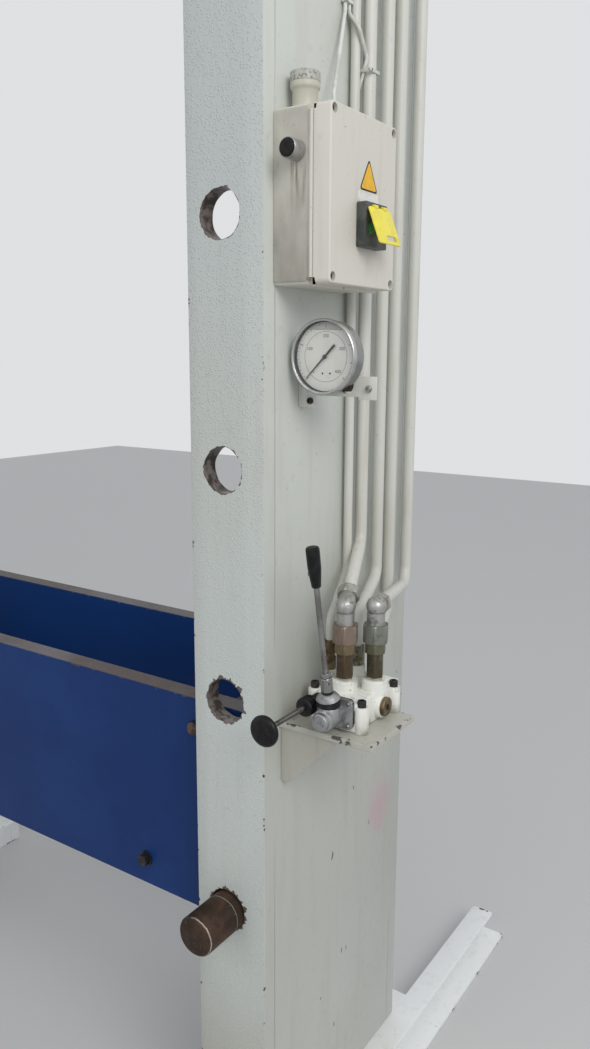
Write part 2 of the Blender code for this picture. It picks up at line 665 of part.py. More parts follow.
def cylinder():
    """Cylinder, a thick cup open below, with its flange and three port bosses."""
    top = CROWN_BOTTOM - GAP
    flange = CYL_RADIUS + CYL_FLANGE
    profile = [(0, CYL_TOP), (CYL_RADIUS, CYL_TOP), (CYL_RADIUS, top), (flange, top),
               (flange, CYL_BOTTOM), (CYL_BORE, CYL_BOTTOM), (CYL_BORE, CYL_BORE_TOP), (0, CYL_BORE_TOP)]
    piece = finish("cylinder", lathe(profile, Matrix.Identity(4), 20), "frame_white")
    level, width, half = DECK_RUN, 14 * MM, 13 * MM
    y = UPPER_BOSS_Y
    inside = CYL_RADIUS - 55 * MM
    add(piece, block(inside, BOSS_X, y - width, y + width, level - half, level + half))
    y = GAUGE_PORT_Y
    small = 11 * MM
    add(piece, block(inside + 30 * MM, BOSS_X, y - small, y + small, level - small, level + small))
    y = LOWER_BOSS_Y
    add(piece, block(inside - 60 * MM, BOSS_X, y - width, y + width, DROP_Z - half, DROP_Z + half))
    soften(piece, 30)
    return piece


def gland():
    """Screwed ring that closes the bottom of the cylinder and guides the ram."""
    hole, spigot = RAM_RADIUS + GAP, CYL_BORE - GAP
    low, top, flange = CYL_BOTTOM - GAP, CYL_BOTTOM + GLAND_SPIGOT, CYL_BORE + GLAND_FLANGE
    profile = [(hole, GLAND_BOTTOM), (flange, GLAND_BOTTOM), (flange, low), (spigot, low),
               (spigot, top), (hole, top)]
    work = lathe(profile, Matrix.Identity(4), 20, closed=True)
    return finish("cylinder_gland", work, "bare_steel", smooth=30)


def ram():
    """Ram with its piston head inside the cylinder."""
    piston = CYL_BORE - GAP
    low = PISTON_TOP - PISTON_THICK
    profile = [(0, RAM_BOTTOM), (RAM_RADIUS, RAM_BOTTOM), (RAM_RADIUS, low), (piston, low),
               (piston, PISTON_TOP), (0, PISTON_TOP)]
    work = lathe(profile, Matrix.Identity(4), 20)
    return finish("ram", work, "chrome", origin=(0, 0, RAM_BOTTOM), smooth=30)


def ram_nose():
    """Pressing pad on the end of the ram."""
    high = RAM_BOTTOM - GAP
    low, r, c = high - NOSE_THICK, RAM_RADIUS - NOSE_STEP, 3 * MM
    profile = [(0, low), (r - c, low), (r, low + c), (r, high), (0, high)]
    work = lathe(profile, Matrix.Identity(4), 20)
    return finish("ram_nose", work, "bare_steel", origin=(0, 0, low), smooth=50)


def tank():
    """Oil tank on the deck, a box with its lid welded on and a filler neck."""
    low = DECK_TOP + GAP
    high = low + TANK_HEIGHT
    outline = rounded(TANK_X0, TANK_X1, -TANK_HALF_DEPTH, TANK_HALF_DEPTH, TANK_CORNER, 2)
    piece = finish("oil_tank", extrude(outline, low, high, "z"), "tank_grey")
    add(piece, rod((FILL_X, 0, high - TANK_WALL), (FILL_X, 0, high + NECK_HEIGHT), NECK_RADIUS, 12))
    w, half = TANK_WALL, TANK_HALF_DEPTH - TANK_WALL
    cut(piece, block(TANK_X0 + w, TANK_X1 - w, -half, half, low + w, high - w))
    bore, top = NECK_RADIUS - NECK_WALL, high + NECK_HEIGHT + 0.01
    return cut(piece, rod((FILL_X, 0, high - 2 * w), (FILL_X, 0, top), bore, 12))


def filler_cap():
    """Cap over the filler neck. It lifts off to top up the oil."""
    low = DECK_TOP + GAP + TANK_HEIGHT + GAP
    height, outer, inner = FILLER_HEIGHT, NECK_RADIUS + CAP_SKIRT, NECK_RADIUS + GAP
    top = low + NECK_HEIGHT + GAP
    profile = [(inner, low), (outer, low), (outer, low + height - 3 * MM), (outer - 3 * MM, low + height),
               (0, low + height), (0, top), (inner, top)]
    work = lathe(profile, aim((FILL_X, 0, 0), (0, 0, 1)), 12, closed=True)
    return finish("filler_cap", work, "black_plastic", origin=(FILL_X, 0, low), smooth=40)


def ribbed(radius, depth, ribs, y, z):
    """Outline of a round body with flat-topped cooling ribs round it."""
    points = []
    for k in range(ribs):
        for share, r in ((0.0, radius - depth), (0.28, radius - depth), (0.42, radius), (0.86, radius)):
            angle = 2 * pi * (k + share) / ribs
            points.append((y + r * cos(angle), z + r * sin(angle)))
    return points


def motor():
    """Electric motor on its foot, with cooling ribs, a fan cowl and the cable box on top."""
    r, rim, cowl, length = MOTOR_RADIUS, MOTOR_RADIUS + MOTOR_RIM, MOTOR_RADIUS + MOTOR_COWL, MOTOR_LENGTH
    core = r - RIB_DEPTH - 4 * MM
    profile = [(0, 0), (rim, 0), (rim, 14 * MM), (r - 2 * MM, 20 * MM), (r - 2 * MM, 34 * MM), (core, 36 * MM),
               (core, length - 72 * MM), (cowl, length - 66 * MM), (cowl, length - 8 * MM),
               (r - 8 * MM, length), (0, length)]
    work = lathe(profile, aim((MOTOR_START, MOTOR_Y, MOTOR_Z), (1, 0, 0)), 16)
    piece = finish("motor", work, "motor_blue")
    outline = ribbed(r, RIB_DEPTH, MOTOR_RIBS, MOTOR_Y, MOTOR_Z)
    add(piece, extrude(outline, MOTOR_START + 28 * MM, MOTOR_END - 74 * MM, "x"))
    low, y = DECK_TOP + GAP, MOTOR_Y
    start, end = MOTOR_START + 60 * MM, MOTOR_END - 90 * MM
    add(piece, block(start, end, y - 75 * MM, y + 75 * MM, low, low + 14 * MM))
    inset = 15 * MM
    add(piece, block(start + inset, end - inset, y - 50 * MM, y + 50 * MM, low + 10 * MM, MOTOR_Z))
    top, cable_box = MOTOR_Z + MOTOR_RADIUS, TERMINAL_X - TERMINAL_LENGTH
    add(piece, block(cable_box, TERMINAL_X, y - 35 * MM, y + 80 * MM, top - 25 * MM, TERMINAL_Z))
    soften(piece, 30)
    return piece


def pump():
    """Pump on its bell housing between the motor and the tank, with the suction pipe."""
    start = TANK_X1 + GAP
    bell = MOTOR_START - GAP - start
    suction, flange = SUCTION_RADIUS, SUCTION_RADIUS + 12 * MM
    profile = [(0, 0), (flange, 0), (flange, 10 * MM), (suction, 10 * MM), (suction, 130 * MM),
               (PUMP_RADIUS, 130 * MM), (PUMP_RADIUS, bell - 85 * MM), (BELL_RADIUS, bell - 70 * MM),
               (BELL_RADIUS, bell), (0, bell)]
    work = lathe(profile, aim((start, MOTOR_Y, MOTOR_Z), (1, 0, 0)), 12)
    return finish("pump", work, "cast_aluminium", smooth=30)


def control_box():
    """Switch box against the column, open toward its lid."""
    outline = rounded(FRONT_Y + BOX_Y0, FRONT_Y + BOX_Y1, BOX_Z0, BOX_Z1, BOX_CORNER)
    start, end = FACE_X + GAP, FACE_X + BOX_SPLIT
    piece = finish("control_box", extrude(outline, start, end, "x"), "box_cream")
    cut(piece, box_cavity(start + BOX_WALL, end + 0.01))
    y, low, high = BOX_Y0, BOX_Z1 - 0.012, BOX_Z1 + 0.01
    button = BEZEL_NECK + GAP
    cut(piece, rod(side(BUTTON_X, y - 0.01, BUTTON_Z), side(BUTTON_X, y + 0.012, BUTTON_Z), button, 12))
    cut(piece, rod(side(STUB_X, STUB_Y, low), side(STUB_X, STUB_Y, high), STUB_SPIGOT + GAP, 12))
    cable_hole = CABLE_RADIUS + 0.9 * MM
    cut(piece, rod(side(CABLE_X, CABLE_Y, low), side(CABLE_X, CABLE_Y, high), cable_hole, 8))
    # Small drain recesses that show as notches on the split line, above and below.
    for z in (BOX_Z0, BOX_Z1):
        cut(piece, side_block(BOX_SPLIT - 6 * MM, BOX_SPLIT + 0.01, BOX_Y0 - 0.01, BOX_Y0 + 4 * MM,
                              z - 9 * MM, z + 9 * MM))
    return piece


def box_cavity(x0, x1):
    """Hollow of the box or the lid, leaving a solid pillar in each corner."""
    w = BOX_WALL
    outline = notched(FRONT_Y + BOX_Y0 + w, FRONT_Y + BOX_Y1 - w, BOX_Z0 + w, BOX_Z1 - w, BOX_PILLAR - w)
    return extrude(outline, x0, x1, "x")


def screw_places():
    """The four lid screws as (y, z)."""
    for y in (BOX_Y0 + SCREW_INSET_Y + SCREW_RADIUS, BOX_Y1 - SCREW_INSET_Y - SCREW_RADIUS):
        for z in (BOX_Z0 + SCREW_INSET_Z + SCREW_RADIUS, BOX_Z1 - SCREW_INSET_Z - SCREW_RADIUS):
            yield y, z


def control_lid():
    """Lid of the switch box with its four screws, sunk in the corners and made in one piece with it."""
    outline = rounded(FRONT_Y + BOX_Y0, FRONT_Y + BOX_Y1, BOX_Z0, BOX_Z1, BOX_CORNER)
    start, end = FACE_X + BOX_SPLIT + GAP, FACE_X + BOX_OUT
    piece = finish("control_lid", extrude(outline, start, end, "x"), "box_cream")
    cut(piece, box_cavity(start - 0.01, end - BOX_WALL))
    well, head = BOX_OUT - 9 * MM, BOX_OUT - 3 * MM
    for y, z in screw_places():
        cut(piece, rod(side(well, y, z), side(BOX_OUT + 0.01, y, z), SCREW_RADIUS + GAP, 8))
        add(piece, rod(side(well - 2 * MM, y, z), side(head, y, z), SCREW_RADIUS - 1 * MM, 6))
    return piece


def box_stub():
    """Spare conduit socket on top of the box."""
    low = BOX_Z1 + GAP
    r, c, h, s = STUB_RADIUS, STUB_COLLAR, STUB_HEIGHT, STUB_SPIGOT
    profile = [(0, -10 * MM), (s, -10 * MM), (s, 0), (r, 0), (r, h - 24 * MM), (c, h - 20 * MM),
               (c, h), (c - 5 * MM, h), (c - 5 * MM, h - 16 * MM), (0, h - 16 * MM)]
    work = lathe(profile, aim(side(STUB_X, STUB_Y, low), (0, 0, 1)), 12)
    return finish("conduit_socket", work, "box_cream", smooth=40)


def button_bezel():
    """Metal sleeve of the push button, through the front side of the box."""
    y = BOX_Y0 - GAP
    inner = CAP_RADIUS + GAP
    profile = [(inner, 0), (BEZEL_RADIUS - 1 * MM, 0), (BEZEL_RADIUS, 2 * MM), (BEZEL_RADIUS, BEZEL_PROUD),
               (BEZEL_NECK, BEZEL_PROUD), (BEZEL_NECK, BEZEL_PROUD + 11 * MM),
               (inner, BEZEL_PROUD + 11 * MM)]
    work = lathe(profile, aim(side(BUTTON_X, y - BEZEL_PROUD, BUTTON_Z), (0, 1, 0)), 12, closed=True)
    return finish("button_bezel", work, "cable_white", smooth=40)


def button_cap():
    """The push button itself. It travels inward."""
    start = BOX_Y0 - BEZEL_PROUD - CAP_RISE
    r, c = CAP_RADIUS, 1 * MM
    profile = [(0, 0), (r - c, 0), (r, c), (r, CAP_LENGTH), (0, CAP_LENGTH)]
    origin = side(BUTTON_X, start, BUTTON_Z)
    work = lathe(profile, aim(origin, (0, 1, 0)), 12)
    return finish("push_button", work, "black_plastic", origin=origin, smooth=40)


def cable_gland():
    """Domed gland where the cable enters the top of the box."""
    bore = CABLE_RADIUS + 0.5 * MM
    profile = [(bore, 0), (9 * MM, 0), (9 * MM, 14 * MM), (12 * MM, 15 * MM), (12 * MM, 18 * MM),
               (7 * MM, 21 * MM), (bore, 21 * MM)]
    work = lathe(profile, aim(side(CABLE_X, CABLE_Y, BOX_Z1 + GAP), (0, 0, 1)), 10, closed=True)
    return finish("cable_gland", work, "cable_white", smooth=40)


def switch_housing():
    """Dark housing of the start and stop switch, with wells for its two buttons."""
    x0, x1 = BOX_OUT + GAP, BOX_OUT + SWITCH_DEPTH
    outline = rounded(FRONT_Y + SWITCH_Y0, FRONT_Y + SWITCH_Y1, SWITCH_Z0, SWITCH_Z1, 2 * MM, 2)
    piece = finish("switch_housing", extrude(outline, FACE_X + x0, FACE_X + x1, "x"), "grey_plastic")
    for y, z in switch_places():
        cut(piece, rod(side(x1 - 9 * MM, y, z), side(x1 + 0.01, y, z), SWITCH_BUTTON + GAP, 12))
    return piece


def switch_places():
    """The start and the stop button as (y, z)."""
    middle, z = (SWITCH_Y0 + SWITCH_Y1) / 2, SWITCH_Z0 + 27 * MM
    return ((middle - BUTTON_SPACING / 2, z), (middle + BUTTON_SPACING / 2, z))


def switch_button(name, place, key):
    """Round button in its well, just proud of the housing."""
    y, z = place
    x1 = BOX_OUT + SWITCH_DEPTH
    work = rod(side(x1 - 6 * MM, y, z), side(x1 + 0.8 * MM, y, z), SWITCH_BUTTON, 12)
    return finish(name, work, key, origin=side(x1 - 6 * MM, y, z))


def switch_flap():
    """Yellow flap hinged over the buttons. A finger reaches the stop button through its slot."""
    origin = side(HINGE_X, (FLAP_Y0 + FLAP_Y1) / 2, HINGE_Z)
    half, t = (FLAP_Y1 - FLAP_Y0) / 2, FLAP_THICK / 2
    piece = finish("switch_flap", block(-t, t, -half, half, -FLAP_LENGTH, 0), "yellow_plastic")
    low = -FLAP_LENGTH + 5 * MM
    cut(piece, block(-0.01, 0.01, -half + 26 * MM, half - 9 * MM, low, low + 8 * MM))
    for y in (-12 * MM, 14 * MM):
        add(piece, rod((0, y - 5 * MM, 1 * MM), (0, y + 5 * MM, 1 * MM), KNUCKLE_RADIUS, 10))
    piece.data.transform(Matrix.Rotation(radians(-FLAP_ANGLE), 4, "Y"))
    piece.location = origin
    return piece


def gauge_place(depth):
    """Matrix at that depth behind the gauge's front, facing back."""
    return aim(side(GAUGE_X, GAUGE_Y + depth, GAUGE_Z), (0, 1, 0))


def gauge_case():
    """Steel case of the gauge with its rolled bezel."""
    r, d = GAUGE_RADIUS, GAUGE_DEPTH
    inner, lip = r - 5 * MM, r - 7.5 * MM
    seat, floor = GLASS_DEPTH - 0.4 * MM, d - 5 * MM
    profile = [(0, d), (r - 3 * MM, d), (r - 3 * MM, 9 * MM), (r, 8 * MM), (r, 2 * MM), (r - 2 * MM, 0),
               (lip, 1 * MM), (lip, seat), (inner, seat), (inner, floor), (0, floor)]
    piece = finish("gauge_case", lathe(profile, gauge_place(0), 24), "zinc")
    # Threaded stem out of the back of the case, low on its right.
    start = side(GAUGE_X + STEM_X, GAUGE_Y + GAUGE_DEPTH - 3 * MM, GAUGE_Z - STEM_DROP)
    add(piece, rod(start, start + Vector((0, 30 * MM, 0)), 11 * MM, 6))
    soften(piece, 35)
    return piece


def gauge_disc(name, depth, thick, key):
    """Round plate inside the case, for the dial and for the glass."""
    r = GAUGE_RADIUS - 5 * MM - GAP
    profile = [(0, 0), (r, 0), (r, thick), (0, thick)]
    return finish(name, lathe(profile, gauge_place(depth), 24), key)


def gauge_needle():
    """Needle on its spindle, pointing at zero at the lower left of the dial."""
    origin = gauge_place(NEEDLE_DEPTH).translation
    hub, spindle, end = 3.2 * MM, 1.5 * MM, DIAL_DEPTH - NEEDLE_DEPTH - GAP
    profile = [(0, 0), (hub, 0), (hub, 2.4 * MM), (spindle, 2.4 * MM), (spindle, end), (0, end)]
    piece = finish("gauge_needle", lathe(profile, aim((0, 0, 0), (0, 1, 0)), 10), "black_plastic")
    outline = [(-NEEDLE_TAIL, -1.3 * MM), (0, -1.0 * MM), (NEEDLE_TIP, -0.35 * MM), (NEEDLE_TIP, 0.35 * MM),
               (0, 1.0 * MM), (-NEEDLE_TAIL, 1.3 * MM)]
    add(piece, extrude(outline, 0.6 * MM, 1.6 * MM, "y"))
    piece.data.transform(Matrix.Rotation(radians(135), 4, "Y"))
    piece.location = origin
    return piece


def gauge_bracket():
    """Flat bar behind the gauge, bent against the column, with its two screws."""
    y0 = GAUGE_Y + GAUGE_DEPTH + GAP
    t = 4 * MM
    z0, z1 = GAUGE_Z - 64 * MM, GAUGE_Z - 28 * MM
    end = GAUGE_X + 72 * MM
    piece = finish("gauge_bracket", side_block(GAP, end, y0, y0 + t, z0, z1), "box_cream")
    add(piece, side_block(GAP, 30 * MM, y0, y0 + t, z0 - 12 * MM, z0 + 5 * MM))
    add(piece, side_block(GAP, t, y0, y0 + 40 * MM, z0 - 12 * MM, z1))
    for x, z in ((22 * MM, z0 - 2 * MM), (end - 12 * MM, (z0 + z1) / 2)):
        add(piece, rod(side(x, y0 - 4 * MM, z), side(x, y0 + 1 * MM, z), 5 * MM, 8))
    stem = side(GAUGE_X + STEM_X, y0, GAUGE_Z - STEM_DROP)
    return cut(piece, rod(stem - Vector((0, 0.01, 0)), stem + Vector((0, 0.02, 0)), 12.5 * MM, 8))


def valve_bracket():
    """Shelf that carries the valve, with the triangular gusset under its front edge."""
    low = SHELF_Z - SHELF_THICK
    piece = finish("valve_bracket", side_block(GAP, SHELF_OUT, SHELF_Y0, SHELF_Y1, low, SHELF_Z), "box_cream")
    x0, tip = FACE_X + GAP, FACE_X + GUSSET_OUT
    outline = [(x0, low + 2 * MM), (tip, low + 2 * MM), (tip, low),
               (FACE_X + 15 * MM, low - GUSSET_DROP), (x0, low - GUSSET_DROP)]
    add(piece, extrude(outline, FRONT_Y + SHELF_Y0 + 6 * MM, FRONT_Y + SHELF_Y0 + 14 * MM, "y"))
    y = SHELF_Y0 + 18 * MM
    return cut(piece, side_block(9 * MM, 18 * MM, y, y + 38 * MM, low - 0.01, SHELF_Z + 0.01))


def valve_body():
    """Cast body of the lever valve, with port bosses, bolt ears and the plugged side port."""
    low = SHELF_Z + GAP
    block_work = side_block(VALVE_X0, VALVE_X1, VALVE_Y0, VALVE_Y1, low, VALVE_TOP)
    piece = finish("valve_body", block_work, "box_cream")
    out, into, half = (VALVE_X1 + 4 * MM, VALVE_X1 - 10 * MM), (VALVE_X0 - 16 * MM, VALVE_X0 + 6 * MM), 9 * MM
    for (x, x1), y in ((out, VALVE_Y0 + 9 * MM), (out, VALVE_Y1 - 26 * MM),
                       (into, VALVE_Y0 + 38 * MM), (into, VALVE_Y1 - 30 * MM)):
        add(piece, side_block(min(x, x1), max(x, x1), y - half, y + half, low + 14 * MM, VALVE_TOP - 8 * MM))
        ear = [(0, 0), (11 * MM, 0), (11 * MM, 43 * MM), (7 * MM, 43 * MM), (7 * MM, 53 * MM), (0, 53 * MM)]
        add(piece, lathe(ear, aim(side(x, y, low), (0, 0, 1)), 10, turn=0.17))
    for key, radius in (("left", 21), ("right", 21), ("inner", 13), ("second", 15), ("third", 13)):
        x, y = PORTS[key]
        add(piece, rod(side(x, y, low + radius * MM), side(x, y, PORT_TOP), radius * MM, 10, turn=0.11))
    y, z = VALVE_Y0 + 74 * MM, VALVE_TOP - 25 * MM
    plug = [(0, 0), (19.5 * MM, 0), (19.5 * MM, 38 * MM), (15.5 * MM, 38.5 * MM), (15.5 * MM, 43 * MM),
            (5 * MM, 43 * MM), (5 * MM, 38 * MM), (0, 38 * MM)]
    add(piece, lathe(plug, aim(side(VALVE_X1 - 25 * MM, y, z), (1, 0, 0)), 10, turn=0.07))
    return piece


def lever_housing():
    """Aluminium housing on the front of the valve that holds the lever's ball."""
    y1 = VALVE_Y0 - GAP
    x, z = SPOOL_X, SPOOL_Z
    r, start = 17 * MM, LEVER_Y - TURRET_RADIUS - 8.3 * MM
    length = y1 - 8 * MM - start
    profile = [(0, 0), (13 * MM, 0), (14 * MM, 1.5 * MM), (14 * MM, 9 * MM), (r, 11 * MM), (r, length),
               (0, length)]
    piece = finish("lever_housing", lathe(profile, aim(side(x, start, z), (0, 1, 0)), 12), "cast_aluminium")
    flange = rounded(FACE_X + x - 24 * MM, FACE_X + x + 27 * MM, z - 24 * MM, z + 24 * MM, 6 * MM, 2)
    add(piece, extrude(flange, FRONT_Y + y1 - 9 * MM, FRONT_Y + y1, "y"))
    add(piece, rod(side(x, LEVER_Y, z), side(x, LEVER_Y, LEVER_Z + TURRET_RISE), TURRET_RADIUS, 14))
    floor, top = LEVER_Z - LEVER_BALL - GAP, LEVER_Z + TURRET_RISE + 0.01
    cut(piece, rod(side(x, LEVER_Y, floor), side(x, LEVER_Y, top), TURRET_BORE, 14))
    soften(piece, 35)
    return piece


def lever_place():
    """Matrix at the lever's ball with local z up the lever."""
    tilt = radians(LEVER_TILT)
    return aim(side(SPOOL_X, LEVER_Y, LEVER_Z), (0, -sin(tilt), cos(tilt)))


def valve_lever():
    """Lever with its ball, chromed boss and rod."""
    end, ball, rod_radius = LEVER_LENGTH - 8 * MM, LEVER_BALL, LEVER_ROD
    neck, boss = LEVER_ROD + 1.1 * MM, LEVER_ROD + 5.1 * MM
    profile = [(0, -ball), (ball * 0.71, -ball * 0.71), (ball, 0), (neck, ball * 0.64), (neck, 22 * MM),
               (boss, 23 * MM), (boss, 52 * MM), (neck, 55 * MM), (rod_radius, 56 * MM), (rod_radius, end),
               (0, end)]
    place = lever_place()
    return finish("valve_lever", lathe(profile, place, 10), "chrome", origin=place.translation, smooth=40)


def lever_grip():
    """Black grip on the lever, wider toward its end."""
    start, end, bore = LEVER_LENGTH - GRIP_LENGTH, LEVER_LENGTH, LEVER_ROD + GAP
    profile = [(bore, start), (7 * MM, start), (10 * MM, start + 30 * MM), (10.3 * MM, end - 2 * MM),
               (8.5 * MM, end), (0, end), (0, end - 7.5 * MM), (bore, end - 7.5 * MM)]
    place = lever_place()
    return finish("lever_grip", lathe(profile, place, 10, closed=True), "black_plastic",
                  origin=place.translation, smooth=40)


def relief_sleeve():
    """Knurled lock nut and guide of the relief valve's adjusting screw."""
    end, bore = RELIEF_REACH, RELIEF_SCREW + GAP
    profile = [(bore, 0), (12 * MM, 0), (15 * MM, 2 * MM), (15 * MM, end - 24 * MM), (10.5 * MM, end - 22 * MM),
               (10.5 * MM, end), (bore, end)]
    start = side(RELIEF_X, VALVE_Y0 - GAP - end, RELIEF_Z)
    work = lathe(profile, aim(start, (0, 1, 0)), 12, closed=True)
    return finish("relief_sleeve", work, "black_plastic", smooth=40)


def relief_knob():
    """Adjusting screw of the relief valve with its mushroom knob."""
    r, screw = KNOB_RADIUS, RELIEF_SCREW
    profile = [(0, 0), (r - 7 * MM, 0), (r - 1.5 * MM, 3 * MM), (r, 7 * MM), (r - 2 * MM, 11 * MM),
               (9 * MM, 14 * MM), (8 * MM, 20 * MM), (screw, 21 * MM), (screw, SCREW_LENGTH), (0, SCREW_LENGTH)]
    origin = side(RELIEF_X, KNOB_Y, RELIEF_Z)
    work = lathe(profile, aim(origin, (0, 1, 0)), 12)
    return finish("relief_knob", work, "black_plastic", origin=origin, smooth=40)


def elbow(name, port, outlet):
    """Ball elbow with its union nut and long hexagon adaptor standing on a port."""
    x, y = PORTS[port]
    ball = side(x, y, BALL_Z)
    foot_point = side(x, y, PORT_TOP + GAP)
    stack = [(0, 0), (14.5 * MM, 0), (14.5 * MM, 43 * MM), (18 * MM, 43.5 * MM), (18 * MM, 60 * MM),
             (22 * MM, 61 * MM), (22 * MM, 90 * MM), (19 * MM, 92 * MM), (0, 92 * MM)]
    piece = finish(name, lathe(stack, aim(foot_point, (0, 0, 1)), 6, turn=0.4), "zinc")
    add(piece, rod(foot_point + Vector((0, 0, 85 * MM)), ball - Vector((0, 0, 2 * MM)), 14.5 * MM, 12))
    out = Vector(outlet).normalized()
    b = BALL_RADIUS
    round_end = [(0, -b), (b * 0.5, -b * 0.866), (b * 0.866, -b * 0.5), (b, 0), (b * 0.93, b * 0.37),
                 (14 * MM, 8 * MM), (14 * MM, 24 * MM), (0, 24 * MM)]
    add(piece, lathe(round_end, aim(ball, out), 12, turn=0.13))
    nut = [(0, 21 * MM), (19 * MM, 21 * MM), (19 * MM, 38 * MM), (0, 38 * MM)]
    add(piece, lathe(nut, aim(ball, out), 6, turn=0.31))
    soften(piece, 28)
    return piece


def inner_fitting():
    """Brass fitting on the inner port, for the thin pipe."""
    x, y = PORTS["inner"]
    low = PORT_TOP + GAP
    piece = finish("inner_fitting", rod(side(x, y, low), side(x, y, low + 22 * MM), 10 * MM, 6), "brass")
    add(piece, rod(side(x, y, low + 20 * MM), side(x, y, low + 30 * MM), 8 * MM, 12))
    return add(piece, rod(side(x, y, low + 28 * MM), side(x, y, low + 50 * MM), 11.5 * MM, 6))


def pipe_x(index):
    """World x of one of the four pipes."""
    return FACE_X + (THIRD_PIPE_X if index == 2 else PIPE_X)


def pipe_y(index):
    """World y of one of the four pipes, counted from the front."""
    return FRONT_Y + PIPE_FIRST_Y + PIPE_PITCH * index


def outlet(port, index, z):
    """Way from an elbow's ball to the corner of its pipe."""
    x, y = PORTS[port]
    return Vector((pipe_x(index), pipe_y(index), z)) - side(x, y, BALL_Z)


def elbow_pipe(name, port, index, bend_z, rest):
    """Pipe from an elbow up the column and over the deck."""
    x, y = PORTS[port]
    way = outlet(port, index, bend_z).normalized()
    start = side(x, y, BALL_Z) + way * (38 * MM + GAP)
    column_x = FACE_X + PIPE_X
    points = [start, (column_x, pipe_y(index), bend_z)] + rest
    return finish(name, sweep(points, PIPE_RADIUS), "frame_white", smooth=60)


def port_pipe(name, port, index, over, bend_z, rest):
    """Pipe with its union nut that stands on an inner port of the valve."""
    x, y = PORTS[port]
    low = PORT_TOP + GAP
    points = [side(x, y, low + 20 * MM), side(x, y, over), (pipe_x(index), pipe_y(index), bend_z)] + rest
    piece = finish(name, sweep(points, PIPE_RADIUS, bend=26 * MM), "frame_white")
    add(piece, rod(side(x, y, low), side(x, y, low + 34 * MM), 14 * MM, 6))
    soften(piece, 40)
    return piece


def pipes():
    """The four oil pipes and the thin gauge pipe."""
    column_x = FACE_X + PIPE_X
    y = [pipe_y(k) for k in range(4)]
    high, run, port = DECK_RUN + RETURN_RISE, DECK_RUN, PORT_TOP
    elbow_pipe("return_pipe", "left", 0, ELBOW_BEND_Z,
               [(column_x, y[0], high), (TANK_X1 + GAP, y[0], high)])
    port_pipe("upper_port_pipe", "second", 1, port + 82 * MM, port + 123 * MM,
              [(column_x, y[1], run), (BOSS_X + 160 * MM, y[1], run), (BOSS_X + 60 * MM, UPPER_BOSS_Y, run),
               (BOSS_X + GAP, UPPER_BOSS_Y, run)])
    port_pipe("lower_port_pipe", "third", 2, port + 49 * MM, port + 49 * MM,
              [(pipe_x(2), y[2], run), (DROP_X + 160 * MM, y[2], run), (DROP_X + 60 * MM, LOWER_BOSS_Y, run),
               (DROP_X, LOWER_BOSS_Y, run), (DROP_X, LOWER_BOSS_Y, DROP_Z),
               (BOSS_X + GAP, LOWER_BOSS_Y, DROP_Z)])
    top, x = MOTOR_Z + PRESSURE_RISE, PRESSURE_X
    elbow_pipe("pressure_pipe", "right", 3, RIGHT_BEND_Z,
               [(column_x, y[3], top), (x, y[3], top), (x, MOTOR_Y, top),
                (x, MOTOR_Y, MOTOR_Z + PUMP_RADIUS + GAP)])
    x, yy = PORTS["inner"]
    low = port + 50 * MM + 2 * GAP
    thin = [side(x, yy, low), side(x, yy, low + 34 * MM), side(THIN_X, THIN_Y, port + 147 * MM),
            side(THIN_X, THIN_Y, run), (BOSS_X + GAP, GAUGE_PORT_Y, run)]
    finish("gauge_pipe", sweep(thin, THIN_RADIUS, bend=24 * MM, steps=7), "frame_white", smooth=60)


def pipe_clamp():
    """Clamp block that holds the four pipes to the side face, high on the column."""
    z0 = COLUMN_TOP - CLAMP_DROP
    z1 = z0 + CLAMP_HEIGHT
    start, end = PIPE_FIRST_Y - 17 * MM, PIPE_FIRST_Y + 3 * PIPE_PITCH + 19 * MM
    piece = finish("pipe_clamp", side_block(GAP, PIPE_X + 18 * MM, start, end, z0, z1), "bare_steel")
    for k in range(4):
        x, y = pipe_x(k), pipe_y(k)
        cut(piece, rod((x, y, z0 - 0.01), (x, y, z1 + 0.01), PIPE_RADIUS + 1 * MM, 10))
    return piece


def cable(name, low_points, index):
    """Thin cable from the box up the column to the motor's cable box."""
    offset = CABLE_PITCH * index
    x, y = CABLE_RUN_X, CABLE_RUN_Y + offset
    up = side(x, y, BOX_Z1 + 176 * MM)
    level, end, top = DECK_TOP + 8 * MM, TERMINAL_X + CABLE_TURN + offset, TERMINAL_Z - 20 * MM
    points = low_points + [up, (up.x, up.y, level), (end, up.y, level), (end, up.y, top),
                           (TERMINAL_X + GAP, up.y, top)]
    work = sweep(points, CABLE_RADIUS, bend=14 * MM, steps=4, arc_steps=2)
    return finish(name, work, "cable_white", smooth=70)


def between_pipes():
    """Side y halfway between the thin pipe and the first thick one, where a cable runs."""
    return (THIN_Y + THIN_RADIUS + PIPE_FIRST_Y - PIPE_RADIUS) / 2 + 1.2 * MM


def cables():
    """The two cables that leave the switch box upward."""
    top, y = BOX_Z1, between_pipes()
    cable("motor_cable", [side(CABLE_X, CABLE_Y, top - 30 * MM), side(CABLE_X, CABLE_Y, top + 41 * MM)], 0)
    cable("limit_cable", [side(40 * MM, BOX_Y1 + GAP, top - 109 * MM), side(40 * MM, y, top - 109 * MM),
                          side(10 * MM, y, top - 69 * MM), side(10 * MM, y, top + 71 * MM),
                          side(25 * MM, y, top + 116 * MM),
                          side(24 * MM, CABLE_RUN_Y + CABLE_PITCH, top + 153 * MM)], 1)


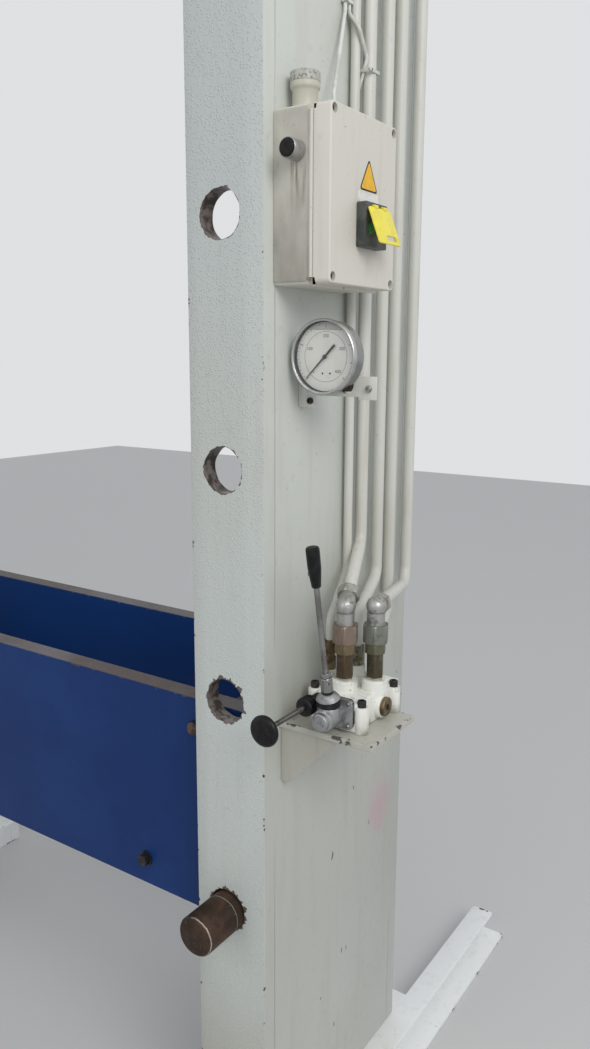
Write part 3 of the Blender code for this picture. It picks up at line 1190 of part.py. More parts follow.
def tie(name, x0, x1, y0, y1, z):
    """Flat cable tie round whatever lies inside that rectangle."""
    t, h = 1.6 * MM, 2.4 * MM
    outer = rounded(FACE_X + x0 - t, FACE_X + x1 + t, FRONT_Y + y0 - t, FRONT_Y + y1 + t, 3 * MM, 1)
    inner = rounded(FACE_X + x0, FACE_X + x1, FRONT_Y + y0, FRONT_Y + y1, 2 * MM, 1)
    piece = finish(name, extrude(outer, z - h, z + h, "z"), "cable_white")
    return cut(piece, extrude(inner, z - 0.01, z + 0.01, "z"))


def frame():
    for name, hand in (("right", 1), ("left", -1)):
        foot(name + "_foot", hand)
        column(name + "_column", hand)
    crown_plate("crown_front_plate", FRONT_Y + FLANGE + GAP)
    crown_plate("crown_rear_plate", BACK_Y - FLANGE - GAP - CROWN_PLATE)
    cylinder_cradle()
    deck()
    cylinder()
    gland()
    ram()
    ram_nose()


def bed():
    bed_plate("bed_front_plate", FRONT_Y + BED_SETBACK)
    bed_plate("bed_rear_plate", BACK_Y - BED_SETBACK - BED_PLATE)
    for name, hand in (("right", 1), ("left", -1)):
        bed_tie("bed_tie_" + name, hand)
        lifting_bar("lifting_bar_" + name, hand)
        pin("pin_" + name, hand)


def controls():
    control_box()
    control_lid()
    box_stub()
    button_bezel()
    button_cap()
    cable_gland()
    switch_housing()
    first, second = switch_places()
    switch_button("start_button", first, "green_plastic")
    switch_button("stop_button", second, "red_plastic")
    switch_flap()
    gauge_case()
    gauge_disc("gauge_dial", DIAL_DEPTH, DIAL_THICK, "dial_white")
    gauge_disc("gauge_glass", GLASS_DEPTH, GLASS_THICK, "glass")
    gauge_needle()
    gauge_bracket()


def hydraulics():
    valve_bracket()
    valve_body()
    lever_housing()
    valve_lever()
    lever_grip()
    relief_sleeve()
    relief_knob()
    elbow("left_elbow", "left", outlet("left", 0, ELBOW_BEND_Z))
    elbow("right_elbow", "right", outlet("right", 3, RIGHT_BEND_Z))
    inner_fitting()
    pipes()
    pipe_clamp()
    tank()
    filler_cap()
    motor()
    pump()
    cables()
    x, y, around = CABLE_RUN_X, CABLE_RUN_Y, CABLE_RADIUS + 0.8 * MM
    tie("cable_tie", x - around, x + around, y - around, y + CABLE_PITCH + around, BOX_Z1 + 191 * MM)
    around = PIPE_RADIUS + GAP
    tie("pipe_tie", PIPE_X - around, PIPE_X + around, between_pipes() - CABLE_RADIUS - GAP,
        PIPE_FIRST_Y + around, BOX_Z1 + 99 * MM)


frame()
bed()
controls()
hydraulics()
for piece in bpy.data.objects:
    piece.location.x -= MIDDLE_X
print(len(bpy.data.objects), "pieces")
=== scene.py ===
# %% [markdown]
# # A workshop hydraulic press
# The press is a welded steel frame with a bed that hangs on two pins and a valve, a gauge and a switch box
# on one column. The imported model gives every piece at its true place. Here each visible piece is made again
# with round curves and soft edges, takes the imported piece's place, and gets a painted or metal finish.
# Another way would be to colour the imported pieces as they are, but their round parts have flat sides.

# %% Load the frame
import bpy
import bmesh
import json
from math import cos, pi, radians, sin, tan
from mathutils import Matrix, Vector, noise


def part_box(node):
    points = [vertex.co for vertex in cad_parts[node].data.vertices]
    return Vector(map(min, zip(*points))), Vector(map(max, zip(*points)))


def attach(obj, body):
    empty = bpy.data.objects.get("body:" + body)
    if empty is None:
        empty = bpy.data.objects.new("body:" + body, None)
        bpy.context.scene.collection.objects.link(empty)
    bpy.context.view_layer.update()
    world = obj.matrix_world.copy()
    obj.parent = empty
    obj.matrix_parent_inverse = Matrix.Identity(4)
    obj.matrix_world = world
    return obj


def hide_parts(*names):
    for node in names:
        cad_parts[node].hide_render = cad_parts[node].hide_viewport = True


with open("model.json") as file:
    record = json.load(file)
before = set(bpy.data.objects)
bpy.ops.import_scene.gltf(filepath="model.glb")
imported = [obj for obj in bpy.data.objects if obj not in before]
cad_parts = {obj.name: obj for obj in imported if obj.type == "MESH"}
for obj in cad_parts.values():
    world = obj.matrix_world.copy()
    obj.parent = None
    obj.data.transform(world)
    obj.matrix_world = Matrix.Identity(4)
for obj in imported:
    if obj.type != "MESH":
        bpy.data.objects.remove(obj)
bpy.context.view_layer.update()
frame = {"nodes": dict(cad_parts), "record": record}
body_of = {node: body for body, nodes in frame["record"]["behaviour"]["bodies"].items() for node in nodes}
MM = 0.001
MIDDLE_X = 0.044    # the press's middle on the floor, from the middle of its two columns

# %% [markdown]
# ## The camera
# The picture is taken from the front right at chest height, looking slightly down. A camera can be
# placed by eye, or fitted to known edges of the object. It was fitted here, so that each piece falls where
# the photograph of the real press shows it.

# %% Camera
CAMERA_SPOT = Vector((1.4886 - MIDDLE_X, -1.2682, 1.4721))
LOOK_LEFT, LOOK_DOWN, ROLL = radians(33.89), radians(10.99), radians(0.28)
FOCAL_PIXELS, LONG_SIDE = 868.4, 1049


def camera_turn():
    """Rotation of a camera that looks that far left of +Y and down."""
    ahead = Vector((-sin(LOOK_LEFT) * cos(LOOK_DOWN), cos(LOOK_LEFT) * cos(LOOK_DOWN), -sin(LOOK_DOWN)))
    level = Vector((cos(LOOK_LEFT), sin(LOOK_LEFT), 0))
    upward = level.cross(ahead)
    right = level * cos(ROLL) + upward * sin(ROLL)
    return Matrix((right, right.cross(ahead), -ahead)).transposed()


lens = bpy.data.cameras.new("camera")
lens.lens = FOCAL_PIXELS / LONG_SIDE * lens.sensor_width
lens.clip_start = 0.05
camera = bpy.data.objects.new("camera", lens)
camera.matrix_world = Matrix.Translation(CAMERA_SPOT) @ camera_turn().to_4x4()
bpy.context.collection.objects.link(camera)
bpy.context.scene.camera = camera
bpy.context.scene.view_settings.view_transform = "Standard"
print("lens", round(lens.lens, 2), "mm")

# %% [markdown]
# ## A small language for finishes
# A finish is a net of shader nodes. Writing each node by hand hides the idea, so a socket is wrapped in a
# class whose operators add the Math nodes. `1 - mask` then reads as what it means.

# %% Sockets with operators


class Wire:
    """One output of a node. Python's operators on it add Math nodes."""

    def __init__(self, finish, socket):
        self.finish, self.socket = finish, socket

    def math(self, operation, *values):
        return self.finish.node("ShaderNodeMath", {"operation": operation}, *values)

    def __add__(self, other):
        return self.math("ADD", self, other)

    def __sub__(self, other):
        return self.math("SUBTRACT", self, other)

    def __rsub__(self, other):
        return self.math("SUBTRACT", other, self)

    def __mul__(self, other):
        return self.math("MULTIPLY", self, other)

    def __truediv__(self, other):
        return self.math("DIVIDE", self, other)

    def __pow__(self, other):
        return self.math("POWER", self, other)

    def __abs__(self):
        return self.math("ABSOLUTE", self)

    def least(self, other):
        return self.math("MINIMUM", self, other)

    def most(self, other):
        return self.math("MAXIMUM", self, other)

    def rise(self, low, high):
        """0 below low, 1 above high and smooth between, or the other way round if low is the larger."""
        settings = {"interpolation_type": "SMOOTHSTEP"}
        return self.finish.node("ShaderNodeMapRange", settings, self, low, high, 0.0, 1.0)

    __radd__, __rmul__ = __add__, __mul__


class Finish:
    """A material with one Principled shader, read in the piece's own coordinates."""

    def __init__(self, name, metallic=0.0, roughness=0.5, coat=0.0, specular=0.5):
        self.material = bpy.data.materials.new(name)
        self.material.use_nodes = True
        self.tree = self.material.node_tree
        self.shader = self.tree.nodes["Principled BSDF"]
        for key, value in (("Metallic", metallic), ("Roughness", roughness), ("Coat Weight", coat),
                           ("Specular IOR Level", specular)):
            self.shader.inputs[key].default_value = value
        self.place = self.node("ShaderNodeTexCoord", out=3)
        split = self.node("ShaderNodeSeparateXYZ", None, self.place)
        self.x, self.y, self.z = (Wire(self, socket) for socket in split.socket.node.outputs)
        self.x = self.x + MIDDLE_X

    def node(self, kind, settings=None, *values, out=0, **sockets):
        """Add a node with its settings and the values or wires of its sockets."""
        made = self.tree.nodes.new(kind)
        for key, value in (settings or {}).items():
            setattr(made, key, value)
        named = [(key.replace("_", " "), value) for key, value in sockets.items()]
        for key, value in list(enumerate(values)) + named:
            if isinstance(value, Wire):
                self.tree.links.new(value.socket, made.inputs[key])
            else:
                made.inputs[key].default_value = value
        return Wire(self, made.outputs[out])

    def spot(self, x, y, z):
        return self.node("ShaderNodeCombineXYZ", None, x, y, z)

    def noise(self, scale, detail=3.0, rough=0.5, stretch=(1, 1, 1), shift=0.0, at=None):
        spot = self.node("ShaderNodeMapping", None, at or self.place, (shift,) * 3, (0, 0, 0), stretch)
        return self.node("ShaderNodeTexNoise", None, spot, Scale=scale, Detail=detail, Roughness=rough)

    def cells(self, scale, feature="F1", stretch=(1, 1, 1)):
        spot = self.node("ShaderNodeMapping", None, self.place, (0, 0, 0), (0, 0, 0), stretch)
        return self.node("ShaderNodeTexVoronoi", {"feature": feature}, spot, Scale=scale)

    def mix(self, mask, below, above):
        """Colour that goes from below to above as the mask goes from 0 to 1."""
        made = self.node("ShaderNodeMix", {"data_type": "RGBA"}, mask, out=2)
        for index, value in ((6, below), (7, above)):
            socket = made.socket.node.inputs[index]
            if isinstance(value, Wire):
                self.tree.links.new(value.socket, socket)
            else:
                socket.default_value = (*value, 1.0)
        return made

    def edge_gap(self, *pairs):
        """Distance of a surface point to the nearest edge of a box given as (wire, low, high) pairs."""
        gaps = [abs(wire - low).least(abs(wire - high)) for wire, low, high in pairs]
        if len(gaps) == 2:
            return gaps[0].most(gaps[1])
        a, b, c = gaps
        return a.least(b).most(a.most(b).least(c))

    def set(self, colour=None, roughness=None, metallic=None, height=None, depth=0.0002, strength=1.0):
        """Feed the shader's sockets with wires or plain values."""
        for key, value in (("Base Color", colour), ("Roughness", roughness), ("Metallic", metallic)):
            if isinstance(value, Wire):
                self.tree.links.new(value.socket, self.shader.inputs[key])
            elif value is not None:
                self.shader.inputs[key].default_value = (*value, 1.0) if key == "Base Color" else value
        if height is not None:
            bump = self.node("ShaderNodeBump", None, Strength=strength, Distance=depth, Height=height)
            self.tree.links.new(bump.socket, self.shader.inputs["Normal"])
        return self.material


print("finish helpers ready")

# %% [markdown]
# ## Shapes
# A maker cuts, turns and bends metal, and three helpers do the same: a plate is an outline given thickness,
# a turned piece is a profile spun about its axis, and a pipe is a circle carried along a bent path. Blender's
# own primitives and modifiers could do most of it too, but then each size would be hidden in a setting. The
# plate comes first, with a way to name places in millimetres beside the right column.

# %% Plates and blocks
FACE_X, FRONT_Y = 0.740, -0.238     # outer face and front of the right column


def side(x, y, z):
    """World point of a place beside the right column, given in millimetres out, back and up."""
    return Vector((FACE_X + x * MM, FRONT_Y + y * MM, z * MM))


def aim(origin, direction):
    """Matrix that puts local z along the direction, at the origin."""
    forward = Vector(direction).normalized()
    helper = Vector((0, 0, 1)) if abs(forward.z) < 0.9 else Vector((1, 0, 0))
    across = helper.cross(forward).normalized()
    turn = Matrix((across, forward.cross(across), forward)).transposed().to_4x4()
    return Matrix.Translation(Vector(origin)) @ turn


def plate(outline, low, high, axis):
    """Outline given thickness from low to high along the axis."""
    order = {"z": lambda a, b, h: (a, b, h), "y": lambda a, b, h: (a, h, b), "x": lambda a, b, h: (h, a, b)}
    work = bmesh.new()
    rings = [[work.verts.new(order[axis](a, b, h)) for a, b in outline] for h in (low, high)]
    work.faces.new(rings[0])
    work.faces.new(rings[1])
    for i in range(len(outline)):
        j = (i + 1) % len(outline)
        work.faces.new((rings[0][i], rings[0][j], rings[1][j], rings[1][i]))
    bmesh.ops.recalc_face_normals(work, faces=work.faces)
    return work


def block(x0, x1, y0, y1, z0, z1):
    return plate([(x0, y0), (x1, y0), (x1, y1), (x0, y1)], z0, z1, "z")


def side_block(x0, x1, y0, y1, z0, z1):
    low, high = side(x0, y0, z0), side(x1, y1, z1)
    return block(low.x, high.x, low.y, high.y, low.z, high.z)


print("plates and blocks ready")

# %% [markdown]
# Screws, nuts, knobs, the gauge's case and the pin come off a lathe. A Screw modifier could spin a profile, but
# a loop over angles also lets the radius change on the way round, which gives hexagons, knurls and torn holes.

# %% Turned pieces


def turned(profile, matrix, steps=48, closed=False, turn=0.0, wave=None):
    """Profile of (radius, height) in millimetres spun about local z. A wave changes the radius by angle."""
    work = bmesh.new()
    rows = []
    for radius, height in profile:
        if radius == 0:
            rows.append([work.verts.new((0, 0, height * MM))])
            continue
        row = []
        for k in range(steps):
            angle = turn + 2 * pi * k / steps
            r = (radius + (wave(angle, radius, height) if wave else 0)) * MM
            row.append(work.verts.new((r * cos(angle), r * sin(angle), height * MM)))
        rows.append(row)
    pairs = list(zip(rows, rows[1:])) + ([(rows[-1], rows[0])] if closed else [])
    for low, high in pairs:
        for k in range(steps):
            n = (k + 1) % steps
            if len(low) == 1 and len(high) == 1:
                continue
            if len(low) == 1:
                work.faces.new((low[0], high[k], high[n]))
            elif len(high) == 1:
                work.faces.new((low[k], low[n], high[0]))
            else:
                work.faces.new((low[k], low[n], high[n], high[k]))
    bmesh.ops.transform(work, matrix=matrix, verts=work.verts)
    bmesh.ops.recalc_face_normals(work, faces=work.faces)
    return work


def rod(start, end, radius, steps=32, turn=0.0):
    """Round bar of that radius in millimetres. With six steps it is a hexagon."""
    length = (end - start).length / MM
    return turned([(0, 0), (radius, 0), (radius, length), (0, length)], aim(start, end - start), steps, turn=turn)


def hexagon(start, direction, corner, low, high, turn=0.0):
    """Hexagon nut with its corners turned off round at both ends, as on a lathe."""
    flat, off = corner * cos(pi / 6), corner * 0.08

    def shape(angle, radius, height):
        return min(radius, flat / cos((angle - turn) % (pi / 3) - pi / 6)) - radius

    profile = [(0, low), (corner * 0.9, low), (corner, low + off), (corner, high - off),
               (corner * 0.9, high), (0, high)]
    return turned(profile, aim(start, direction), 72, turn=turn, wave=shape)


print("turned pieces, rods and hexagons ready")

# %% [markdown]
# The pipes and cables are bent tube. A curve with a bevel depth would look the same, but its bends are harder to
# set to one radius. Here each corner of the path becomes an arc, and a ring of points is carried along it.

# %% Pipes


def path_of(points, bend, arc_steps):
    """Points of a path whose corners are rounded to the bend radius."""
    path = [points[0]]
    for before, corner, after in zip(points, points[1:], points[2:]):
        into, out = (corner - before).normalized(), (after - corner).normalized()
        turn = into.angle(out)
        if turn < 0.02:
            path.append(corner)
            continue
        reach = min(bend * tan(turn / 2), 0.48 * (corner - before).length, 0.48 * (after - corner).length)
        radius = reach / tan(turn / 2)
        axis = into.cross(out).normalized()
        centre = corner - into * reach + axis.cross(into) * radius
        spoke = corner - into * reach - centre
        for k in range(arc_steps + 1):
            path.append(centre + Matrix.Rotation(turn * k / arc_steps, 3, axis) @ spoke)
    return path + [points[-1]]


def pipe(points, radius, bend=32, steps=28, arc_steps=10):
    """Round bar along a path with rounded corners, radius and bend in millimetres."""
    path = path_of([Vector(p) for p in points], bend * MM, arc_steps)
    work = bmesh.new()
    forward = (path[1] - path[0]).normalized()
    helper = Vector((0, 0, 1)) if abs(forward.z) < 0.9 else Vector((1, 0, 0))
    across = helper.cross(forward).normalized()
    rings = []
    for i, centre in enumerate(path):
        ahead = (path[min(i + 1, len(path) - 1)] - path[max(i - 1, 0)]).normalized()
        across = (across - ahead * across.dot(ahead)).normalized()
        up = ahead.cross(across)
        angles = [2 * pi * k / steps for k in range(steps)]
        rings.append([work.verts.new(centre + (across * cos(a) + up * sin(a)) * radius * MM) for a in angles])
    for low, high in zip(rings, rings[1:]):
        for k in range(steps):
            n = (k + 1) % steps
            work.faces.new((low[k], low[n], high[n], high[k]))
    work.faces.new(rings[0])
    work.faces.new(rings[-1])
    bmesh.ops.recalc_face_normals(work, faces=work.faces)
    return work


print("pipes ready")

# %% [markdown]
# Corners are rounded in the outline, edges are broken by a bevel, and holes are cut with an exact Boolean.
# Each finished shape then rides on the body that carries it, so that one scene looks right at every pose.

# %% Corners, edges and cuts


def rounded(a0, a1, b0, b1, radius, steps=6):
    """Rectangle outline with rounded corners."""
    points = []
    corners = ((a1 - radius, b1 - radius, 0), (a0 + radius, b1 - radius, 1),
               (a0 + radius, b0 + radius, 2), (a1 - radius, b0 + radius, 3))
    for a, b, quarter in corners:
        for k in range(steps + 1):
            angle = (quarter + k / steps) * pi / 2
            points.append((a + radius * cos(angle), b + radius * sin(angle)))
    return points


def break_edges(work, width, angle=35, segments=2):
    """Bevel every edge sharper than the angle, width in millimetres."""
    sharp = [e for e in work.edges if len(e.link_faces) == 2 and e.calc_face_angle(0) > radians(angle)]
    bmesh.ops.bevel(work, geom=sharp, offset=width * MM, segments=segments, profile=0.5, affect="EDGES",
                    clamp_overlap=True)
    return work


def held(work):
    """Object that holds a working mesh for a moment."""
    mesh = bpy.data.meshes.new("shape")
    work.to_mesh(mesh)
    work.free()
    thing = bpy.data.objects.new("shape", mesh)
    bpy.context.collection.objects.link(thing)
    return thing


def carve(work, *tools):
    """Cut the tools out of the working mesh."""
    piece = held(work)
    for tool in tools:
        cutter = held(tool)
        change = piece.modifiers.new("cut", "BOOLEAN")
        change.operation, change.solver, change.object = "DIFFERENCE", "EXACT", cutter
        bpy.context.view_layer.update()
        graph = bpy.context.evaluated_depsgraph_get()
        piece.data = bpy.data.meshes.new_from_object(piece.evaluated_get(graph))
        piece.modifiers.clear()
        bpy.data.objects.remove(cutter, do_unlink=True)
    result = bmesh.new()
    result.from_mesh(piece.data)
    bpy.data.objects.remove(piece, do_unlink=True)
    return result


def polygon(corners, radius, steps=5):
    """Outline with its corners rounded to the radius."""
    points = []
    for i, corner in enumerate(corners):
        before, after = Vector(corners[i - 1]), Vector(corners[(i + 1) % len(corners)])
        spot = Vector(corner)
        into, out = (before - spot).normalized(), (after - spot).normalized()
        reach = radius / tan(into.angle(out) / 2)
        for k in range(steps + 1):
            t = k / steps
            points.append(tuple(spot + into * reach * (1 - t) ** 2 + out * reach * t ** 2))
    return points


print("corners, edges and cuts ready")

# %% [markdown]
# A finished piece gets one mesh, one finish and the body that it moves with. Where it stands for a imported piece,
# it takes that piece's place. Some packed plates are already right, so they only have their edges broken.

# %% Finished pieces


def make(name, works, finish, body=None, replaces=(), smooth=40):
    """Join the working meshes into one object with its finish, and let it ride on its body.

    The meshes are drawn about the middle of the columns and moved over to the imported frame's origin.
    """
    mesh = bpy.data.meshes.new(name)
    whole = bmesh.new()
    for work in works:
        bmesh.ops.translate(work, verts=work.verts, vec=(-MIDDLE_X, 0, 0))
        part = bpy.data.meshes.new("part")
        work.to_mesh(part)
        work.free()
        whole.from_mesh(part)
        bpy.data.meshes.remove(part)
    whole.to_mesh(mesh)
    whole.free()
    mesh.shade_smooth()
    mesh.set_sharp_from_angle(angle=radians(smooth))
    mesh.materials.append(finish)
    piece = bpy.data.objects.new(name, mesh)
    bpy.context.collection.objects.link(piece)
    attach(piece, body or body_of[replaces[0]])
    if replaces:
        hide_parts(*replaces)
    return piece


def softened(node, finish, width=1.0, angle=35):
    """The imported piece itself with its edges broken."""
    work = bmesh.new()
    work.from_mesh(frame["nodes"][node].data)
    bmesh.ops.translate(work, verts=work.verts, vec=(MIDDLE_X, 0, 0))
    bmesh.ops.remove_doubles(work, verts=work.verts, dist=0.00002)
    bmesh.ops.dissolve_limit(work, angle_limit=radians(0.4), verts=work.verts, edges=work.edges)
    break_edges(work, width, angle)
    return make(node + "_soft", [work], finish, replaces=[node], smooth=21)


print("shape helpers ready")

# %% [markdown]
# ## Light and floor
# A plain studio: a pale floor, a bright sky all round and one large soft lamp high on the right, because the
# photograph's light falls mostly on the column's side face and fades toward the floor. A ring of small lamps
# would do too, but it gives many hard shadows.

# %% Floor, sky and lamps


def lamp(name, spot, target, size, watts, tint):
    light = bpy.data.lights.new(name, "AREA")
    light.shape, light.size, light.energy, light.color = "DISK", size, watts, tint
    thing = bpy.data.objects.new(name, light)
    direction = Vector(target) - Vector(spot)
    thing.matrix_world = Matrix.Translation(spot) @ direction.to_track_quat("-Z", "Y").to_matrix().to_4x4()
    bpy.context.collection.objects.link(thing)


lamp("key lamp", (3.6, -2.0, 3.6), (0.7, 0.0, 1.4), 2.4, 78, (1.0, 0.99, 0.97))
lamp("front lamp", (0.2, -3.8, 3.0), (0.6, -0.2, 1.2), 2.6, 14, (0.97, 0.99, 1.0))

sky = bpy.data.worlds.new("sky")
bpy.context.scene.world = sky
sky.use_nodes = True
tree = sky.node_tree
plain = tree.nodes["Background"]
plain.inputs["Color"].default_value = (0.93, 0.95, 1.0, 1.0)
plain.inputs["Strength"].default_value = 0.66
seen = tree.nodes.new("ShaderNodeBackground")
seen.inputs["Color"].default_value = (0.74, 0.75, 0.76, 1.0)
rays = tree.nodes.new("ShaderNodeLightPath")
total = rays.outputs["Is Camera Ray"]
for key in ("Is Glossy Ray", "Is Transmission Ray"):
    more = tree.nodes.new("ShaderNodeMath")
    more.operation = "MAXIMUM"
    tree.links.new(total, more.inputs[0])
    tree.links.new(rays.outputs[key], more.inputs[1])
    total = more.outputs[0]
blend = tree.nodes.new("ShaderNodeMixShader")
tree.links.new(total, blend.inputs[0])
tree.links.new(plain.outputs[0], blend.inputs[1])
tree.links.new(seen.outputs[0], blend.inputs[2])
tree.links.new(blend.outputs[0], tree.nodes["World Output"].inputs["Surface"])

ground = bpy.data.meshes.new("floor")
ground.from_pydata([(-9, -9, 0), (9, -9, 0), (9, 9, 0), (-9, 9, 0)], [], [(0, 1, 2, 3)])
floor = bpy.data.objects.new("floor", ground)
bpy.context.collection.objects.link(floor)
pale = Finish("floor", roughness=0.7)
ground.materials.append(pale.set((0.60, 0.60, 0.59)))
print("2 lamps, sky and floor")

# %% [markdown]
# ## Finishes
# The frame is white shop enamel over steel, sprayed thick, so it has a fine orange peel on the front plates.
# Years of use chipped it along the edges and round the holes, and oil and dust left soft stains. Each worn
# edge is found from the distance to the piece's own edges, so the chips follow the real shape.

# %% Enamel with chips
RUST, WHITE, CREAM = (0.050, 0.034, 0.027), (0.585, 0.61, 0.565), (0.65, 0.63, 0.56)


def chips(f, gap, rag, scale=55.0, level=0.53):
    """Mask of chips that eat in from an edge, where a fine noise is high."""
    bite = f.noise(scale, 3, 0.6, shift=3.1)
    return ((bite - level) * rag - gap).rise(0.0, 0.0004)


def enamel(name, base, edges=(), rag=0.05, peel=0.5, stain=0.5, roughness=0.42, bare=RUST, level=0.60,
           marks=None):
    """Brushed or sprayed paint with soft dirt, and chips along the edges of the given boxes.

    marks is a function that adds stains of its own: it takes the finish and the colour and gives a colour.
    """
    f = Finish(name, roughness=roughness, specular=0.4)
    cloud, fine = f.noise(2.2, 4, 0.55), f.noise(46.0, 3, 0.6)
    streak = f.noise(6.0, 3, 0.6, stretch=(9, 9, 0.7), shift=1.7)
    dirt = (cloud.rise(0.48, 0.74) * 0.5 + streak.rise(0.52, 0.74) * 0.5) * stain
    colour = f.mix(dirt.least(1.0), base, tuple(c * k for c, k in zip(base, (0.74, 0.70, 0.62))))
    colour = f.mix(fine.rise(0.62, 0.78) * 0.35, colour, tuple(c * 0.72 for c in base))
    speck = f.noise(170.0, 2, 0.5, shift=7.0).rise(0.735, 0.76)
    colour = f.mix(speck * 0.55, colour, tuple(c * 0.30 for c in base))
    height = f.noise(230.0, 2, 0.5) * peel + f.noise(14.0, 2, 0.5) * 0.6
    rough = fine * 0.22 + (roughness - 0.1)
    if edges:
        gap = None
        for x0, x1, y0, y1, z0, z1 in edges:
            pairs = [(f.x, x0, x1), (f.y, y0, y1)] + ([(f.z, z0, z1)] if z0 is not None else [])
            one = f.edge_gap(*pairs)
            gap = one if gap is None else gap.least(one)
        mask = chips(f, gap, rag, level=level)
        halo = chips(f, gap, rag * 1.5, level=level)
        colour = f.mix(halo * 0.35, colour, tuple(c * 0.55 for c in base))
        colour = f.mix(mask, colour, bare)
        height = height - mask * 2.0
        rough = rough + mask * 0.2
    if marks:
        colour = marks(f, colour)
    f.set(colour, rough, height=height, depth=0.00022, strength=0.7)
    return f


def node_edges(node):
    """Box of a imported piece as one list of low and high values."""
    low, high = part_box(node)
    return low[0] + MIDDLE_X, high[0] + MIDDLE_X, low[1], high[1], low[2], high[2]


print("enamel ready")

# %% [markdown]
# The columns need more than plain enamel. Their front is grained like a fine orange peel, their side is
# smooth and painted darker at working height as shade, and each pin hole was torn out with a torch. The mask of a
# torn rim is a distance to the hole's middle, made uneven by a noise that is read by direction only.

# %% Paint of the columns
COLUMN_IN, WEB_IN, PLATE_IN = 0.600, 0.724, 0.210   # inner ends of the plates, and inner faces of web and plates
HOLE_X, HOLE_Z, HOLE_STEP = 0.663, 0.554, 0.373     # middle of the lowest pin hole, and the step to the next
HOLE_RIM = 0.0364               # the tears start here, measured from the hole's middle
PINK_SPOT = (0.150, 0.597)      # y and z of a rubbed pink mark on the side face


